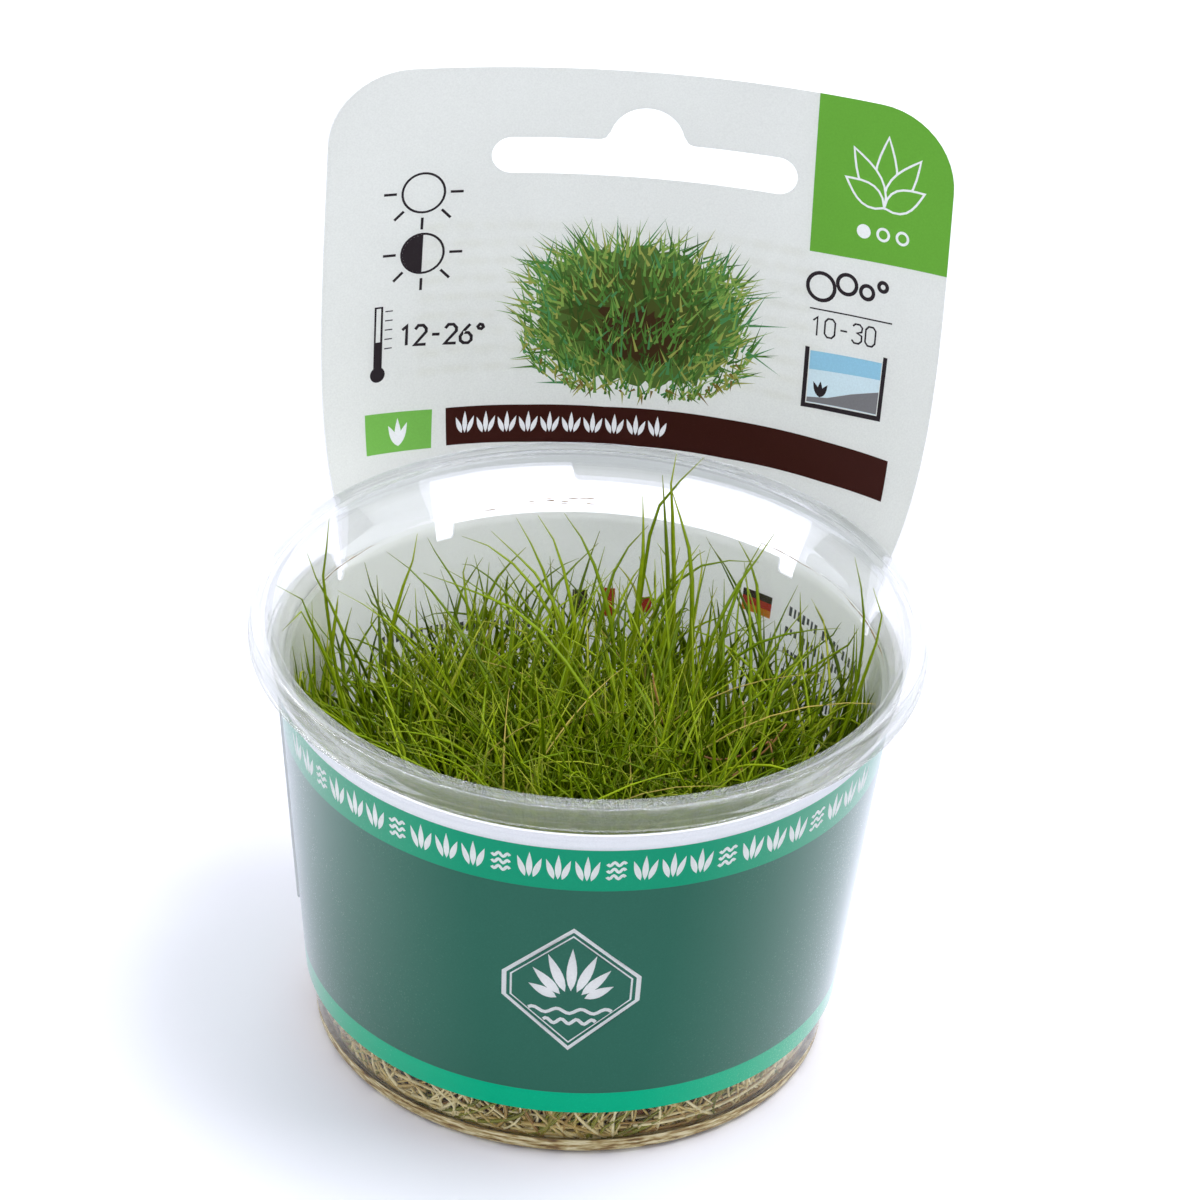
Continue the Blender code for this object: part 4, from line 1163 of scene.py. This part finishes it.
def make_grass():
    """The tufts, one piece each: the mass of blades, longer arching ones, the tall ones and a few dry ones."""
    green = grass_material()
    places = tuft_places()
    for number, place in enumerate(places, start=1):
        chance = np.random.default_rng(100 + number)
        many = blade_paths(place, BLADES_PER_TUFT, chance)
        tall = tall_paths(number, places)
        dry = blade_paths(place, DRY_PER_TUFT, chance, 1.5)
        arches = blade_paths(place, ARCHES_PER_TUFT, chance, 1.25)
        paths = np.concatenate([many, arches, tall, dry])
        radii = np.concatenate([blade_radii(many, chance, 0.165, 0.255), blade_radii(arches, chance, 0.19, 0.25),
                                blade_radii(tall, chance, 0.245, 0.295), blade_radii(dry, chance, 0.1, 0.14)])
        tints = np.concatenate([np.clip(chance.beta(2.0, 2.0, len(many)), 0.0, 0.9),
                                chance.uniform(0.55, 0.88, len(arches)), chance.uniform(0.35, 0.7, len(tall)),
                                np.ones(len(dry))])
        name = "hairgrass_blades_%02d" % number
        tuft = piece_of(name, strands(name, paths, radii, across_of(paths), tints, 0.75), [green])
        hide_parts("hairgrass_tuft_%02d" % number)
        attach(tuft, "root")


HEART_BOTTOM, HEART_EDGE, HEART_ROWS, HEART_COLUMNS = 0.98, 6.7, 10, 200
ROOTS, ROOT_STEPS = 940, 14
ROOT_LOW, ROOT_HIGH = 1.06, 7.6
CIRCLING_SHARE, LEAFY_SHARE = 0.17, 0.2


def root_heart(chance):
    """The mesh of the root mat's brown heart, a lumpy disc."""
    points = []
    tints = []
    turn = np.arange(HEART_COLUMNS) * 2.0 * math.pi / HEART_COLUMNS
    last = HEART_ROWS - 1
    for j in range(HEART_ROWS):
        z = HEART_BOTTOM + (HEART_EDGE - HEART_BOTTOM) * j / last
        bumps = 0.3 * np.sin(23.0 * turn + 2.0 * j) + 0.35 * chance.uniform(-1.0, 1.0, HEART_COLUMNS)
        radius = cup_inner(z) - (1.95 if j in (0, last) else 1.2) + bumps * 0.6
        lift = 0.3 * chance.uniform(-1.0, 1.0, HEART_COLUMNS) if j == last else 0.0
        points += list(zip(radius * np.cos(turn), radius * np.sin(turn), np.full(HEART_COLUMNS, z) + lift))
        tints += list(chance.uniform(0.0, 1.0, HEART_COLUMNS))
    faces = [list(range(HEART_COLUMNS))[::-1]]
    for k in range(HEART_COLUMNS):
        after = (k + 1) % HEART_COLUMNS
        for low in range(0, last * HEART_COLUMNS, HEART_COLUMNS):
            high = low + HEART_COLUMNS
            faces.append([low + k, low + after, high + after, high + k])
        faces.append([last * HEART_COLUMNS + k, last * HEART_COLUMNS + after, len(points)])
    mesh = mesh_of("root_heart", np.array(points + [(0.0, 0.0, ROOT_TOP)]), faces)
    store(mesh, "tint", tints + [0.5])
    return mesh


def root_strands(chance):
    """The mesh of the pale roots round the heart, with rings of them low down and green feet of leaves."""
    start = chance.uniform(0.0, 2.0 * math.pi, (ROOTS, 1))
    kind = chance.uniform(0.0, 1.0, (ROOTS, 1))
    circling = kind < CIRCLING_SHARE
    leafy = kind > 1.0 - LEAFY_SHARE
    share = np.linspace(0.0, 1.0, ROOT_STEPS)
    slant = np.where(leafy, chance.uniform(0.05, 0.3, (ROOTS, 1)), chance.normal(0.0, 0.1, (ROOTS, 1)))
    low = chance.uniform(1.0, 1.5, (ROOTS, 1))
    high = chance.uniform(5.2, 7.6, (ROOTS, 1))
    z = low + (high - low) * share ** np.where(leafy, 1.5, 1.1)
    a = start + slant * share + chance.uniform(-0.16, 0.16, (ROOTS, 1)) * (1.0 - share) ** 3.0
    a = a + (chance.uniform(0.01, 0.04, (ROOTS, 1))
             * np.sin(share * chance.uniform(2.0, 4.5, (ROOTS, 1)) + start * 7.0))
    round_z = chance.beta(1.0, 4.5, (ROOTS, 1)) * 5.0 + ROOT_LOW + 0.3 * np.sin(share * 5.0 + start * 3.0)
    round_a = start + chance.uniform(0.35, 0.9, (ROOTS, 1)) * share
    z = np.clip(np.where(circling, round_z, z), ROOT_LOW, ROOT_HIGH)
    a = np.where(circling, round_a, a)
    inset = chance.uniform(0.2, 0.95, (ROOTS, 1)) + 0.12 * np.sin(7.0 * share + start)
    thick = chance.uniform(0.13, 0.25, (ROOTS, 1)) * (1.0 - 0.3 * share) * np.where(leafy, 1.4, 1.0)
    z = np.maximum(z, FLOOR_TOP + thick + 0.04)
    radius = cup_inner(z) - np.maximum(inset, thick + 0.09) - 0.45 * smooth(2.1 - z, 0.0, 1.1)
    paths = np.stack([radius * np.cos(a), radius * np.sin(a), z], axis=-1)
    side = np.concatenate([np.cos(start), np.sin(start), np.zeros((ROOTS, 1))], axis=1)
    green, brown = chance.uniform(0.0, 0.24, (ROOTS, 1)), 0.3 + 0.7 * chance.beta(1.6, 1.6, (ROOTS, 1))
    return strands("root_strands", paths, thick, side, np.where(leafy, green, brown).ravel())


def make_roots():
    """The root mat: its brown heart and the roots round it."""
    chance = np.random.default_rng(40)
    brown = root_material("root_brown", 0.6, (0.0, 40, 22, 6), (0.4, 86, 54, 16), (0.7, 122, 66, 20),
                          (1.0, 92, 84, 22))
    heart = piece_of("root_heart", root_heart(chance), [brown])
    pale = root_material("root_pale", 0.42, (0.0, 104, 106, 22), (0.22, 146, 144, 50), (0.3, 140, 96, 44),
                         (0.6, 200, 176, 104), (1.0, 246, 236, 192))
    roots = piece_of("root_strands", root_strands(chance), [pale])
    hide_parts("root_mat")
    for piece in (heart, roots):
        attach(piece, "root")


make_camera()
make_studio()
make_cup()
make_sheet()
make_roots()
make_grass()
dead_threads()
ledge_residue()
